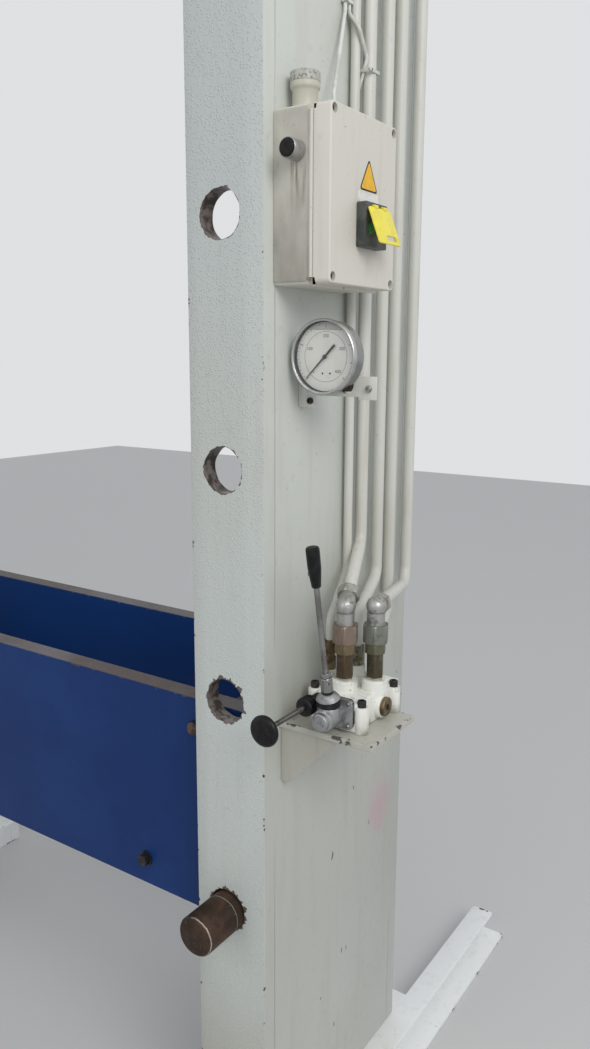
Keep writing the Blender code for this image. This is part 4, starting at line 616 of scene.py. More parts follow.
def column_paint():
    """White enamel of a column, with torch-cut chips that radiate from the pin holes."""
    f = Finish("column enamel", roughness=0.42, specular=0.4)
    x = abs(f.x)
    cloud, fine = f.noise(1.7, 4, 0.55), f.noise(60.0, 3, 0.6)
    streak = f.noise(5.0, 3, 0.6, stretch=(8, 8, 0.6), shift=1.7)
    front = f.y.rise(FRONT_Y + 0.0018, FRONT_Y + 0.0006)
    # Painted shade: the side face is painted darker from about 1.45 m down to 0.5 m, and less so near the floor,
    # where less light reaches it. The same band also feeds the dirt mix below.
    low = f.z.rise(1.45, 0.8) * (f.z.rise(0.15, 0.5) * 0.6 + 0.4) * (1 - front)
    foot_dirt = f.z.rise(0.5, 0.1) * front
    dirt = cloud.rise(0.46, 0.74) * 0.42 + streak.rise(0.50, 0.72) * 0.22 + low * 0.25 + foot_dirt * 0.35
    # Painted shade: the whole front face is painted darker than the side face, which gets more light.
    colour = f.mix(front * 0.9, WHITE, (0.53, 0.565, 0.535))
    colour = f.mix(dirt.least(1.0) * 0.75, colour, (0.42, 0.415, 0.34))
    colour = f.mix(low * 0.32, colour, (0.36, 0.365, 0.33))
    along, over = f.y - PINK_SPOT[0], (f.z - PINK_SPOT[1]) * 0.85
    away = (along * along + over * over) ** 0.5
    pink = (f.noise(22.0, 4, 0.6, shift=11.0) * 0.10 - away).rise(-0.02, 0.04) * (1 - front) * f.x.rise(0, 0.1)
    colour = f.mix(pink * 0.5, colour, (0.60, 0.33, 0.40))
    colour = f.mix(fine.rise(0.60, 0.76) * 0.28, colour, (0.38, 0.39, 0.34))
    speck = f.noise(190.0, 2, 0.5, shift=7.0).rise(0.745, 0.765)
    colour = f.mix(speck * 0.5, colour, (0.16, 0.14, 0.11))
    nick = f.noise(24.0, 1, 0.5, stretch=(2.4, 2.4, 0.9), shift=21.0).rise(0.775, 0.785) * (1 - front)
    colour = f.mix(nick * 0.85, colour, (0.06, 0.05, 0.045))
    # Painted highlight: the raised dots of the orange peel on the front are painted lighter, where light would catch
    # them. They are also bumps in the height below.
    grain = f.cells(250.0).rise(0.45, 0.10) * fine.rise(0.26, 0.46)
    colour = f.mix(grain * front * 0.50, colour, (0.70, 0.73, 0.72))
    # Painted shade: the front face is painted a darker, cooler grey toward the top.
    colour = f.mix(front * f.z.rise(1.2, 1.9) * 0.35, colour, (0.40, 0.43, 0.44))
    colour = f.mix(foot_dirt * 0.35, colour, (0.40, 0.34, 0.23))
    seam = abs(abs(f.y) - 0.2085 + (fine - 0.5) * 0.002).rise(0.0013, 0.0004)
    seam = seam * cloud.rise(0.38, 0.5) * x.rise(0.738, 0.739)
    colour = f.mix(seam * 0.45, colour, (0.27, 0.28, 0.25))
    # Pin holes: distance to the nearest hole's middle, and a noise that depends on the direction only.
    half, above = HOLE_STEP / 2, f.z - (HOLE_Z - HOLE_STEP / 2)
    across, up = x - HOLE_X, above.math("MODULO", above, HOLE_STEP) - half
    reach = (across * across + up * up) ** 0.5
    ray = f.noise(4.5, 2, 0.6, at=f.spot(across / reach, f.z * 1.5, up / reach))
    tear = (f.z.rise(1.15, 0.9) * 0.75 + 0.25) * (((across + up) / reach).rise(-1.2, 1.2) * 0.7 + 0.3)
    crumb = f.noise(80.0, 3, 0.6, shift=5.0)
    torn = (ray - 0.46).most(0.0) * tear * 0.032 + (crumb - 0.45) * 0.014
    holes = f.z.rise(1.80, 1.79)
    rim = (torn - (reach - HOLE_RIM)).rise(0.0, 0.0005) * front * holes
    inside = reach.rise(HOLE_RIM + 0.0022, HOLE_RIM + 0.0014) * abs(f.y).rise(0.2379, 0.2375) * holes
    gap = f.edge_gap((x, COLUMN_IN, FACE_X), (f.y, FRONT_Y, -FRONT_Y))
    mask = chips(f, gap, 0.042, 62.0, 0.635).most(rim * 0.9)
    halo = chips(f, gap, 0.060, 62.0, 0.615)
    colour = f.mix(halo * 0.30, colour, (0.33, 0.31, 0.25))
    shade = f.mix(crumb.rise(0.42, 0.62), (0.030, 0.022, 0.02), (0.085, 0.055, 0.042))
    colour = f.mix(mask, colour, shade)
    colour = f.mix(inside, colour, f.mix(crumb.rise(0.4, 0.6), (0.050, 0.040, 0.036), (0.19, 0.16, 0.145)))
    coarse = front * (f.z.rise(0.5, 1.5) * 0.65 + 0.35)
    peel = grain * (coarse * 1.35 + 0.06) + f.noise(16.0, 2, 0.5) * 0.5
    f.set(colour, fine * 0.2 + 0.3 + mask * 0.3, height=peel - mask * 2.0 - seam * 1.5, depth=0.0006, strength=0.9)
    return f


print("column paint ready")

# %% [markdown]
# The bed's blue is rubbed off where work pieces lie, the pins are brown with rust and bright only on the
# chamfer, and bought parts have plain finishes. Each finish drifts between two colours in patches, because no
# real surface has one even colour.

# %% Paint of the bed, steel and plain finishes
BED_TOP, PIN_Z = 0.8946, 0.5523


def bed_paint():
    """Blue enamel whose upper edge is rubbed down to brown steel."""
    f = Finish("bed blue", roughness=0.4, specular=0.18)
    cloud, fine = f.noise(4.0, 4, 0.6), f.noise(85.0, 4, 0.65)
    colour = f.mix(cloud.rise(0.35, 0.7), (0.0055, 0.030, 0.135), (0.008, 0.040, 0.165))
    colour = f.mix(f.y.rise(0.10, 0.12) * 0.6, colour, (0.010, 0.052, 0.205))
    colour = f.mix(fine.rise(0.70, 0.76) * 0.35, colour, (0.10, 0.12, 0.15))
    gap = abs(f.z - BED_TOP).most(abs(abs(f.y) - 0.196).least(abs(abs(f.y) - 0.156)))
    worn = chips(f, gap, 0.030, 70.0, 0.54).most(f.z.rise(BED_TOP - 0.0008, BED_TOP - 0.0002))
    steel = f.mix(cloud.rise(0.4, 0.6), (0.070, 0.050, 0.045), (0.125, 0.108, 0.115))
    steel = f.mix(fine.rise(0.58, 0.7) * 0.5, steel, (0.25, 0.23, 0.23))
    f.set(f.mix(worn, colour, steel), fine * 0.3 + 0.25, height=fine - worn, depth=0.0003, strength=0.6)
    return f


def plain_finish(name, base, roughness=0.4, metallic=0.0, other=None, scale=40.0, bump=0.3, cut=(0.45, 0.62),
                 depth=0.0001, specular=0.4):
    """One colour that drifts toward another in small patches, with a faint texture."""
    f = Finish(name, metallic=metallic, roughness=roughness, specular=specular)
    patch, fine = f.noise(scale, 4, 0.6), f.noise(scale * 6, 2, 0.5)
    other = other or tuple(c * 0.7 for c in base)
    f.set(f.mix(patch.rise(*cut), base, other), patch * 0.2 + (roughness - 0.1), height=fine + patch,
          depth=depth, strength=bump)
    return f.material


def pin_steel():
    """Brown rusted steel with a bright ring where the chamfer is rubbed."""
    f = Finish("pin steel", metallic=0.2, roughness=0.6, specular=0.3)
    patch, fine = f.noise(22.0, 4, 0.65), f.noise(140.0, 3, 0.6)
    colour = f.mix(patch.rise(0.38, 0.62), (0.029, 0.016, 0.010), (0.066, 0.036, 0.021))
    colour = f.mix(fine.rise(0.60, 0.74) * 0.5, colour, (0.14, 0.10, 0.08))
    across, up = abs(f.x) - HOLE_X, f.z - PIN_Z
    reach = (across * across + up * up) ** 0.5
    ring = abs(reach - 0.0328 + (fine - 0.5) * 0.002).rise(0.0009, 0.0003) * f.y.rise(-0.3185, -0.3205)
    ring = ring * patch.rise(0.36, 0.56)
    turn = abs(f.y + 0.2545 + (patch - 0.5) * 0.006).rise(0.0007, 0.0002)
    bright = (ring * 0.8).most(turn * 0.7)
    f.set(f.mix(bright, colour, (0.45, 0.42, 0.38)), fine * 0.3 + 0.35, height=patch + fine * 0.5,
          depth=0.0005, strength=0.7)
    return f.material


def band_finish(name, bands, roughness, metallic, other, scale=70.0, axis="z"):
    """Metal whose colour changes at heights: bands is a list of (from, colour) in metres, lowest first."""
    f = Finish(name, metallic=metallic, roughness=roughness)
    patch = f.noise(scale, 4, 0.65)
    where = getattr(f, axis)
    colour = bands[0][1]
    for start, shade in bands[1:]:
        colour = f.mix((where + (patch - 0.5) * 0.004).rise(start - 0.0005, start + 0.0005), colour, shade)
    colour = f.mix(patch.rise(0.52, 0.66) * 0.75, colour, other)
    f.set(colour, patch * 0.35 + (roughness - 0.15), height=patch, depth=0.0002, strength=0.6)
    return f.material


print("bed, steel and plain finishes ready")

# %% [markdown]
# Some dirt has a cause, such as oil that runs down from the push button and gathers at the foot of the casting.
# It could be painted by hand on an image. Masks from height and a stretched noise need no image, and stay sharp.

# %% Stains of the box, the casting and the socket, and painted shade on the box's front side


def box_marks(f, colour):
    """A front side painted darker as shade, with dirty patches, darker toward the bottom, and brown runs below the
    push button.
    """
    facing = f.y.rise(-0.2122, -0.2132) * f.x.rise(0.805, 0.803)
    patch = f.noise(12.0, 4, 0.65, stretch=(1, 1, 0.5), shift=8.0)
    dirt_patches_and_low_darkening = patch.rise(0.36, 0.66) * 0.35 + f.z.rise(1.74, 1.58) * 0.30
    # Painted shade: the box's front side is painted darker by a fixed share, as it gets less light than the lid. The
    # patches and the darkening toward the bottom come on top.
    colour = f.mix(facing * (dirt_patches_and_low_darkening + 0.22), colour, (0.28, 0.26, 0.215))
    run = f.noise(9.0, 3, 0.6, stretch=(14, 2, 0.9), shift=4.0)
    fade = f.z.rise(1.655, 1.725) * f.z.rise(1.742, 1.732) * f.x.rise(0.768, 0.774) * f.x.rise(0.800, 0.792)
    return f.mix(run.rise(0.42, 0.60) * fade * f.y.rise(-0.2128, -0.2136) * 0.95, colour, (0.19, 0.15, 0.11))


def valve_marks(f, colour):
    """Oily dirt at the foot of the casting and in rings round the tops of its ports."""
    smear = f.noise(38.0, 4, 0.65, stretch=(1, 1, 0.6), shift=13.0)
    foot = f.z.rise(0.916, 0.899) * smear.rise(0.38, 0.62)
    top = f.z.rise(0.955, 0.9625) * smear.rise(0.46, 0.60)
    line = smear.rise(0.56, 0.60) * smear.rise(0.66, 0.62)
    return f.mix((foot * 0.7).most(top * 0.5).most(line * 0.35), colour, (0.22, 0.20, 0.16))


def socket_marks(f, colour):
    """The worn grey collar of the spare conduit socket."""
    speck = f.noise(260.0, 3, 0.6, shift=9.0)
    collar = f.z.rise(1.8476, 1.8482)
    colour = f.mix(collar * 0.85, colour, (0.42, 0.415, 0.385))
    return f.mix(collar * speck.rise(0.52, 0.62) * 0.8, colour, (0.13, 0.12, 0.11))


print("stains ready")

# %% [markdown]
# Every finish is made once and kept by name, because many pieces share one. Making a new material for each piece
# would also work, but then a change of white would have to be made in twenty places.

# %% All finishes by name
frame_paint = enamel("frame enamel", WHITE, peel=0.6, stain=0.7).material
finish = {
    # Painted light: the feet get a much brighter white than the columns, standing in for the strong light that falls
    # on them.
    "foot": enamel("foot enamel with painted light", (0.85, 0.87, 0.86), [node_edges("right_foot"), node_edges("left_foot")],
                   rag=0.075, stain=0.7, level=0.585, bare=(0.05, 0.045, 0.04)).material,
    "box": enamel("box cream", CREAM, [node_edges("control_box"), node_edges("control_lid")], rag=0.012,
                  peel=0.25, stain=0.45, bare=(0.16, 0.13, 0.10), level=0.62, marks=box_marks).material,
    "shelf": enamel("shelf enamel", (0.49, 0.485, 0.43), [node_edges("valve_bracket")], rag=0.065, stain=0.8,
                    bare=(0.09, 0.085, 0.08), level=0.545).material,
    "valve": enamel("valve casting", (0.81, 0.82, 0.765), rag=0.02, peel=1.6, stain=1.1, marks=valve_marks).material,
    "pipe": enamel("pipe enamel", (0.62, 0.62, 0.57), peel=0.3, stain=0.9).material,
    "socket": enamel("socket enamel", (0.50, 0.49, 0.41), [node_edges("conduit_socket")], rag=0.03,
                     stain=1.0, bare=(0.16, 0.15, 0.13), marks=socket_marks).material,
    "bezel": plain_finish("bezel metal", (0.36, 0.355, 0.34), 0.36, 0.5, (0.24, 0.235, 0.22)),
    "rust": plain_finish("rusty steel", (0.055, 0.036, 0.028), 0.6, 0.35, (0.13, 0.085, 0.06), 60.0, 0.6,
                         depth=0.0004),
    "bolt": plain_finish("blackened steel", (0.028, 0.026, 0.026), 0.42, 0.5, (0.07, 0.06, 0.055), 80.0),
    "steel": plain_finish("bare steel", (0.34, 0.33, 0.31), 0.34, 0.9, (0.22, 0.20, 0.18), 30.0),
    "satin": plain_finish("satin steel", (0.30, 0.30, 0.29), 0.24, 1.0, (0.20, 0.195, 0.185), 26.0, 0.15),
    "chrome": plain_finish("chrome", (0.62, 0.62, 0.61), 0.16, 1.0, (0.55, 0.545, 0.53), 12.0, 0.02),
    "zinc": plain_finish("zinc plating", (0.46, 0.46, 0.42), 0.34, 0.85, (0.27, 0.25, 0.19), 90.0, 0.4),
    "olive": plain_finish("green zinc", (0.26, 0.26, 0.19), 0.42, 0.6, (0.13, 0.11, 0.06), 90.0, 0.4),
    "brass": plain_finish("brown brass", (0.20, 0.15, 0.08), 0.42, 0.7, (0.09, 0.065, 0.04), 100.0, 0.4),
    "black": plain_finish("black plastic", (0.006, 0.006, 0.007), 0.36, 0.0, (0.013, 0.013, 0.013), 120.0,
                          specular=0.22),
    "rubber": plain_finish("rubber", (0.010, 0.010, 0.011), 0.55, 0.0, (0.022, 0.022, 0.022), 120.0,
                           specular=0.25),
    "dark": plain_finish("dark grey plastic", (0.045, 0.050, 0.052), 0.42, 0.0, (0.08, 0.085, 0.08), 60.0),
    "yellow": plain_finish("yellow plastic", (0.86, 0.76, 0.07), 0.38, 0.0, (0.78, 0.67, 0.08), 50.0),
    "amber": plain_finish("amber label", (0.86, 0.48, 0.02), 0.45, 0.0, (0.76, 0.43, 0.03), 90.0),
    "label": plain_finish("white label", (0.80, 0.80, 0.76), 0.45, 0.0, (0.66, 0.65, 0.60), 90.0),
    "green": plain_finish("green plastic", (0.02, 0.22, 0.06), 0.38, 0.0, (0.015, 0.15, 0.04), 90.0),
    "red": plain_finish("red plastic", (0.42, 0.03, 0.02), 0.38, 0.0, (0.30, 0.02, 0.015), 90.0),
    "aluminium": plain_finish("cast aluminium", (0.36, 0.365, 0.37), 0.42, 0.8, (0.22, 0.22, 0.22), 60.0, 0.5,
                              depth=0.0002),
    "cable": plain_finish("cable white", (0.68, 0.69, 0.66), 0.45, 0.0, (0.54, 0.54, 0.49), 30.0),
    "tank": enamel("tank enamel", (0.34, 0.36, 0.37), [node_edges("oil_tank")], rag=0.02, stain=0.5).material,
    "motor": enamel("motor enamel", (0.055, 0.12, 0.21), peel=0.8, stain=0.4).material,
    "ink": plain_finish("dial ink", (0.05, 0.05, 0.055), 0.5, 0.0, (0.10, 0.10, 0.10), 200.0),
    "case": band_finish("gauge steel", [(-1, (0.50, 0.50, 0.49)), (-0.1705, (0.30, 0.31, 0.30))], 0.28, 0.85,
                        (0.38, 0.37, 0.35), 60.0, "y"),
    "thread": plain_finish("painted thread", (0.095, 0.09, 0.085), 0.45, 0.6, (0.035, 0.032, 0.03), 110.0, 0.4),
    "pin": pin_steel(),
    "bed": bed_paint().material,
    "column": column_paint().material,
}
print(len(finish), "finishes")

# %% [markdown]
# ## The frame
# Two C-shaped columns, welded from a side plate and two thick plates, stand on folded channels. The pin holes
# were cut with a torch, so their rims are ragged. They could be drilled round, but then no chip would show.

# %% Columns, feet, crown
COLUMN_FOOT, COLUMN_TOP, HOLE_COUNT = 0.0603, 2.760, 4


def column(name, hand):
    outer, inner, web = hand * FACE_X, hand * COLUMN_IN, hand * WEB_IN
    outline = [(inner, FRONT_Y), (outer, FRONT_Y), (outer, -FRONT_Y), (inner, -FRONT_Y), (inner, PLATE_IN),
               (web, PLATE_IN), (web, -PLATE_IN), (inner, -PLATE_IN)]
    work = break_edges(plate(outline, COLUMN_FOOT, COLUMN_TOP, "z"), 1.4)
    tools = []
    for k in range(HOLE_COUNT):
        def torch(angle, radius, height, k=k):
            return noise.noise(Vector((cos(angle) * 2.6, sin(angle) * 2.6, k * 3.0))) * 1.1
        middle = (hand * HOLE_X, 0, HOLE_Z + HOLE_STEP * k)
        tools.append(turned([(0, -300), (36.3, -300), (36.3, 300), (0, 300)], aim(middle, (0, 1, 0)), 64, wave=torch))
    make(name + "_shape", [carve(work, *tools)], finish["column"], replaces=[name])


column("right_column", 1)
column("left_column", -1)
for node in ("right_foot", "left_foot"):
    softened(node, finish["foot"], 1.6)
for node in ("crown_front_plate", "crown_rear_plate", "cylinder_cradle", "crown_deck"):
    softened(node, frame_paint, 1.5, 25)
print("frame pieces made")

# %% [markdown]
# ## The bed and its pins
# The bed is two deep plates held apart by bolts with spacer tubes. It can be lifted by its round bars once
# the pins are pulled out. Bolts and bars are turned pieces, so they are made from profiles.

# %% Bed, bolts, bars and pins
TIE_X, TIE_Z, BAR_X, BAR_Z = 0.438, 0.549, 0.562, 0.840
for node in ("bed_front_plate", "bed_rear_plate"):
    softened(node, finish["bed"], 1.4, 50)
for name, hand in (("right", 1), ("left", -1)):
    tie_spot = (hand * TIE_X, 0, TIE_Z)
    half, out = 155.7, 196.3
    shank = [(0, -out - 3), (14, -out - 3), (14, -out), (8, -out), (8, -half), (21, -half), (21, half), (8, half),
             (8, out), (14, out), (14, out + 3), (0, out + 3)]
    heads = [hexagon(tie_spot, (0, sign, 0), 11.5, out + 3, out + 13) for sign in (-1, 1)]
    make("bed_tie_%s_bolt" % name, [turned(shank, aim(tie_spot, (0, 1, 0)), 48)] + heads, finish["bolt"],
         replaces=["bed_tie_" + name])
    bar = [(0, -205), (10.5, -205), (12, -203.5), (12, 203.5), (10.5, 205), (0, 205)]
    make("lifting_bar_%s_round" % name, [turned(bar, aim((hand * BAR_X, 0, BAR_Z), (0, 1, 0)), 48)],
         finish["rust"], replaces=["lifting_bar_" + name])
    pin = [(0, 0), (29.4, 0), (30.2, 0.4), (33.6, 3.8), (34, 4.6), (34, 597.4), (33.6, 598.2), (30.2, 601.6),
           (29.4, 602), (0, 602)]
    make("pin_%s_round" % name, [turned(pin, aim((hand * HOLE_X, -0.324, PIN_Z), (0, 1, 0)), 72)],
         finish["pin"], replaces=["pin_" + name])
print("bed pieces made")

# %% [markdown]
# ## The cylinder and the power unit
# These lie above the photograph. They are finished plainly, as such presses have them: a cylinder with a
# screwed ring, a chromed ram, an oil tank with its filler cap, a pump and a ribbed motor.

# %% Cylinder, ram and tank
UP = Matrix.Identity(4)


def boss(half, y, z, x0):
    return break_edges(block(x0, 0.1646, y - half * MM, y + half * MM, z - half * MM, z + half * MM), 1.5)


drum = [(0, 2815), (143, 2815), (144.6, 2813.4), (144.6, 2339.7), (188.6, 2339.7), (190, 2338.3), (190, 2281.4),
        (188.6, 2280), (104.6, 2280), (104.6, 2780), (0, 2780)]
make("cylinder_round", [turned(drum, UP, 96), boss(13, 0.0753, 2.800, 0.10), boss(11, -0.010, 2.800, 0.12),
                        boss(13, 0.134, 2.440, 0.05)], frame_paint, replaces=["cylinder"])
ring = [(90.4, 2250), (138.5, 2250), (140, 2251.5), (140, 2279.7), (104.4, 2279.7), (104.4, 2325), (90.4, 2325)]
bolts = [hexagon((0.122 * cos(k * pi / 4), 0.122 * sin(k * pi / 4), 2.25), (0, 0, -1), 8, -2, 5.5)
         for k in range(8)]
make("cylinder_gland_round", [turned(ring, UP, 96, closed=True)] + bolts, finish["steel"],
     replaces=["cylinder_gland"])
stroke = [(0, 2245.3), (88.6, 2245.3), (90, 2246.7), (90, 2728), (104.1, 2728), (104.1, 2776), (0, 2776)]
make("ram_round", [turned(stroke, UP, 96)], finish["chrome"], replaces=["ram"])
nose = [(0, 2220), (80, 2220), (84, 2224), (84, 2243.5), (82.5, 2245), (0, 2245)]
make("ram_nose_round", [turned(nose, UP, 96)], finish["steel"], replaces=["ram_nose"])
softened("oil_tank", finish["tank"], 2.0)


def ribs_round(angle, radius, height):
    return 0.7 * cos(angle * 30) if 5 < height < 26 and radius > 29 else 0


low = 3060.9        # underside of the filler cap
hood = [(24.3, low), (30, low), (30, low + 5), (30, low + 27), (29, low + 29.5), (27, low + 31.6), (24, low + 32),
        (0, low + 32), (0, low + 22.3), (24.3, low + 22.3)]
make("filler_cap_round", [turned(hood, aim((-0.47, 0, 0), (0, 0, 1)), 120, closed=True, wave=ribs_round)],
     finish["black"], replaces=["filler_cap"])

print("cylinder, ram and tank made")

# %% [markdown]
# The ribbed motor drives the pump through a bell housing. The ribs run along the motor, so the ribbed part is one
# outline given thickness. Adding each rib as its own block would be as good, but takes more faces.

# %% Motor and pump
MOTOR = Vector((0.18, -0.110, 2.8903))      # the motor's end face toward the pump
body = [(0, 0), (91, 0), (93, 2), (93, 13), (91.5, 14.5), (83, 20), (83, 34), (74, 36), (74, 248), (89, 252.5),
        (90, 256), (90, 308), (88, 312), (77, 320), (0, 320)]
fins = []
for k in range(20):
    for share, r in ((0.0, 77.6), (0.28, 77.6), (0.44, 85), (0.80, 85)):
        turn_at = 2 * pi * (k + share) / 20
        fins.append((MOTOR.y + r * MM * cos(turn_at), MOTOR.z + r * MM * sin(turn_at)))
y, base = MOTOR.y, 2.7806
works = [turned(body, aim(MOTOR, (1, 0, 0)), 72), plate(fins, 0.208, 0.426, "x"),
         break_edges(block(0.24, 0.41, y - 0.075, y + 0.075, base, base + 0.014), 1.5),
         block(0.255, 0.395, y - 0.05, y + 0.05, base + 0.010, MOTOR.z),
         break_edges(block(0.38, 0.47, y - 0.035, y + 0.08, MOTOR.z + 0.06, 3.0103), 3.0)]
for dx in (0.252, 0.398):
    for dy in (-0.062, 0.062):
        works.append(hexagon((dx, y + dy, base + 0.012), (0, 0, 1), 7, 0, 8))
for k in range(6):
    works.append(block(0.4999, 0.5000, y - 0.05 + k * 0.018, y - 0.044 + k * 0.018, 2.85, 2.93))
make("motor_round", works, finish["motor"], replaces=["motor"])
reach = 0.18 - 0.0003 + 0.1697
bell = [(0, 0), (30, 0), (30, 10), (18, 10), (18, 130), (43.5, 130), (45, 131.5), (45, reach / MM - 85),
        (66, reach / MM - 70), (66, reach / MM), (0, reach / MM)]
works = [turned(bell, aim((-0.1697, y, MOTOR.z), (1, 0, 0)), 60)]
for k in range(4):
    spot = Vector((-0.1697, y + 0.024 * cos(k * pi / 2), MOTOR.z + 0.024 * sin(k * pi / 2)))
    works.append(hexagon(spot, (1, 0, 0), 5, 9, 15))
make("pump_round", works, finish["aluminium"], replaces=["pump"])
print("motor and pump made")

# %% [markdown]
# ## The switch box
# The box and its lid are cast plastic, closed by four slotted screws sunk in the corners. The lid carries a
# stop and start switch under a hinged yellow flap, an amber triangle and a blank white strip. The labels are
# thin plates rather than colours in the paint, so their edges stay crisp.

# %% Box and lid
BOX_Y, BOX_Z = (24, 213), (1571, 1809)


def side_plate(outline, x0, x1):
    """Outline of (y, z) in side millimetres, from x0 to x1 out from the column."""
    points = [(side(0, y, z).y, z * MM) for y, z in outline]
    return plate(points, FACE_X + x0 * MM, FACE_X + x1 * MM, "x")


def box_outline(inset=0.0):
    return rounded(BOX_Y[0] + inset, BOX_Y[1] - inset, BOX_Z[0] + inset, BOX_Z[1] - inset, 7 - inset / 2)


def notches():
    """Cutters of the small clip recess where the joint meets the box's front corners."""
    return [side_block(57, 71, 20, 35, z - 9, z + 9) for z in BOX_Z]


holes = [rod(side(41.3, 20, 1749), side(41.3, 36, 1749), 11.3, 40),
         rod(side(26, 66, 1797), side(26, 66, 1819), 15.3, 40),
         rod(side(30, 136, 1797), side(30, 136, 1819), 3, 24)]
lip = break_edges(side_plate(box_outline(-2.0), 61, 65.9), 0.7)
make("control_box_body", [carve(break_edges(side_plate(box_outline(), 0.3, 66), 0.8), *notches(), *holes),
                          carve(lip, *notches())], finish["box"], replaces=["control_box"])
lid = carve(break_edges(side_plate(box_outline(0.7), 66.3, 95.2), 2.2, segments=4), *notches())
places = [(y, z) for y in (33.8, 203.2) for z in (1581, 1799)]
wells = [rod(side(85, y, z), side(96, y, z), 6.6, 32) for y, z in places]
screws = []
for n, (y, z) in enumerate(places):
    head = turned([(0, 0), (5.6, 0), (5.6, 4), (5.0, 5.2), (0, 5.4)], aim(side(85.2, y, z), (1, 0, 0)), 36)
    slot = block(-0.0007, 0.0007, -0.007, 0.007, -0.0015, 0.01)
    turn = Matrix.Rotation(0.5 + n * 0.8, 4, "Z")
    bmesh.ops.transform(slot, matrix=aim(side(90.6, y, z), (1, 0, 0)) @ turn, verts=slot.verts)
    screws.append(carve(head, slot))
make("control_lid_shell", [carve(lid, *wells)], finish["box"], replaces=["control_lid"])
make("lid_screws", screws, finish["bolt"], body="frame")
print("box and lid made")

# %% [markdown]
# On the box sit a round push button in its metal sleeve, a spare conduit socket with a worn collar, and the gland
# of a cable. All are turned pieces. The triangle and the strip carry no sign or words, so they stay plain fields.

# %% Labels, push button, socket and gland
triangle = [(103.4, 1706), (155.5, 1706), (129.4, 1751)]
small = [(107.0, 1708.2), (151.8, 1708.2), (129.4, 1747.0)]
make("lid_triangle_border", [side_plate(polygon(triangle, 4), 95.2, 95.5)], finish["black"], body="frame")
make("lid_triangle", [side_plate(polygon(small, 3), 95.3, 95.65)], finish["amber"], body="frame")
make("lid_strip", [side_plate(rounded(99, 159, 1690, 1704, 1.5), 95.2, 95.5)], finish["label"], body="frame")

sleeve = [(12.3, 0.3), (12.7, 0), (13.6, 0.8), (14, 2), (14, 25), (11, 25), (11, 36), (10.7, 36), (10.7, 8.6),
          (12.3, 8.6)]
make("button_bezel_round", [turned(sleeve, aim(side(41.3, -1.3, 1749), (0, 1, 0)), 60, closed=True)],
     finish["bezel"], replaces=["button_bezel"])
cap = [(0, 0.6), (7, 0.3), (10.8, 0), (11.7, 0.5), (12, 1.4), (12, 5.6), (10.4, 5.6), (10.4, 24), (0, 24)]
make("push_button_round", [turned(cap, aim(side(41.3, -3.4, 1749), (0, 1, 0)), 60)], finish["black"],
     replaces=["push_button"])
stub = [(0, -10), (15, -10), (15, 0), (19.6, 0), (20, 1), (18.8, 5), (18.2, 9), (18.2, 26), (19.6, 28.5),
        (21, 30), (21.4, 32), (21.4, 36.6), (20.8, 37.4), (20.8, 38.4), (21.5, 39), (21.5, 50.8), (20.6, 52),
        (17.2, 52), (16.5, 51), (16.5, 36), (0, 36)]
make("conduit_socket_round", [turned(stub, aim(side(26, 66, 1809.3), (0, 0, 1)), 60)], finish["socket"],
     replaces=["conduit_socket"])


def six_flats(angle, radius, height):
    return min(radius, 8.0 / cos(angle % (pi / 3) - pi / 6)) - radius if 0.5 < height < 13.5 else 0


gland = [(2.6, 0), (9, 0), (9, 1), (9, 13), (9, 14), (11.4, 14.6), (12, 16), (12, 17.6), (10, 19.8), (7, 21),
         (2.6, 21)]
make("cable_gland_round", [turned(gland, aim(side(30, 136, 1809.3), (0, 0, 1)), 72, closed=True, wave=six_flats)],
     finish["cable"], replaces=["cable_gland"])

print("labels, push button, socket and gland made")

# %% [markdown]
# The green and red buttons sit in round wells of a dark housing, under a yellow flap that hangs a little open. The
# flap could be one bent sheet. It is a flat plate with two knuckles, turned about its hinge by its angle at rest.

# %% Start and stop switch with its flap
housing = break_edges(side_plate(rounded(95, 158, 1626, 1688, 2.5), 95.5, 111.2), 0.9)
wells = [rod(side(102.5, y, 1653), side(112, y, 1653), 9.3, 40) for y in (112.5, 140.5)]
make("switch_housing_shell", [carve(housing, *wells)], finish["dark"], replaces=["switch_housing"])
for node, y, key in (("start_button", 112.5, "green"), ("stop_button", 140.5, "red")):
    face = [(0, 0), (9, 0), (9, 5.8), (8.2, 6.6), (0, 6.8)]
    make(node + "_round", [turned(face, aim(side(105.2, y, 1653), (1, 0, 0)), 48)], finish[key], replaces=[node])

flap = plate(rounded(-0.032, 0.032, -0.054, 0.0, 0.003), -0.0012, 0.0012, "x")
flap = carve(break_edges(flap, 0.5), plate(rounded(-0.006, 0.023, -0.049, -0.041, 0.003), -0.01, 0.01, "x"))
knuckles = [rod(Vector((0, y - 0.005, 0.001)), Vector((0, y + 0.005, 0.001)), 3.2, 32) for y in (-0.012, 0.014)]
for work in [flap] + knuckles:
    place = Matrix.Translation(side(115.5, 126, 1680)) @ Matrix.Rotation(radians(-21), 4, "Y")
    bmesh.ops.transform(work, matrix=place, verts=work.verts)
make("switch_flap_plate", [flap] + knuckles, finish["yellow"], replaces=["switch_flap"])
print("switch and flap made")

# %% [markdown]
# ## The gauge
# A steel case with a rolled bezel, a pane of glass, an off-white dial with plain marks and a black needle.
# The case is filled with clear liquid almost to the top, which shows as a level line.

# %% Case and dial of the gauge
GAUGE = side(63, 58, 1471)      # middle of the front of the bezel


def gauge_at(depth):
    return aim(GAUGE + Vector((0, depth * MM, 0)), (0, 1, 0))


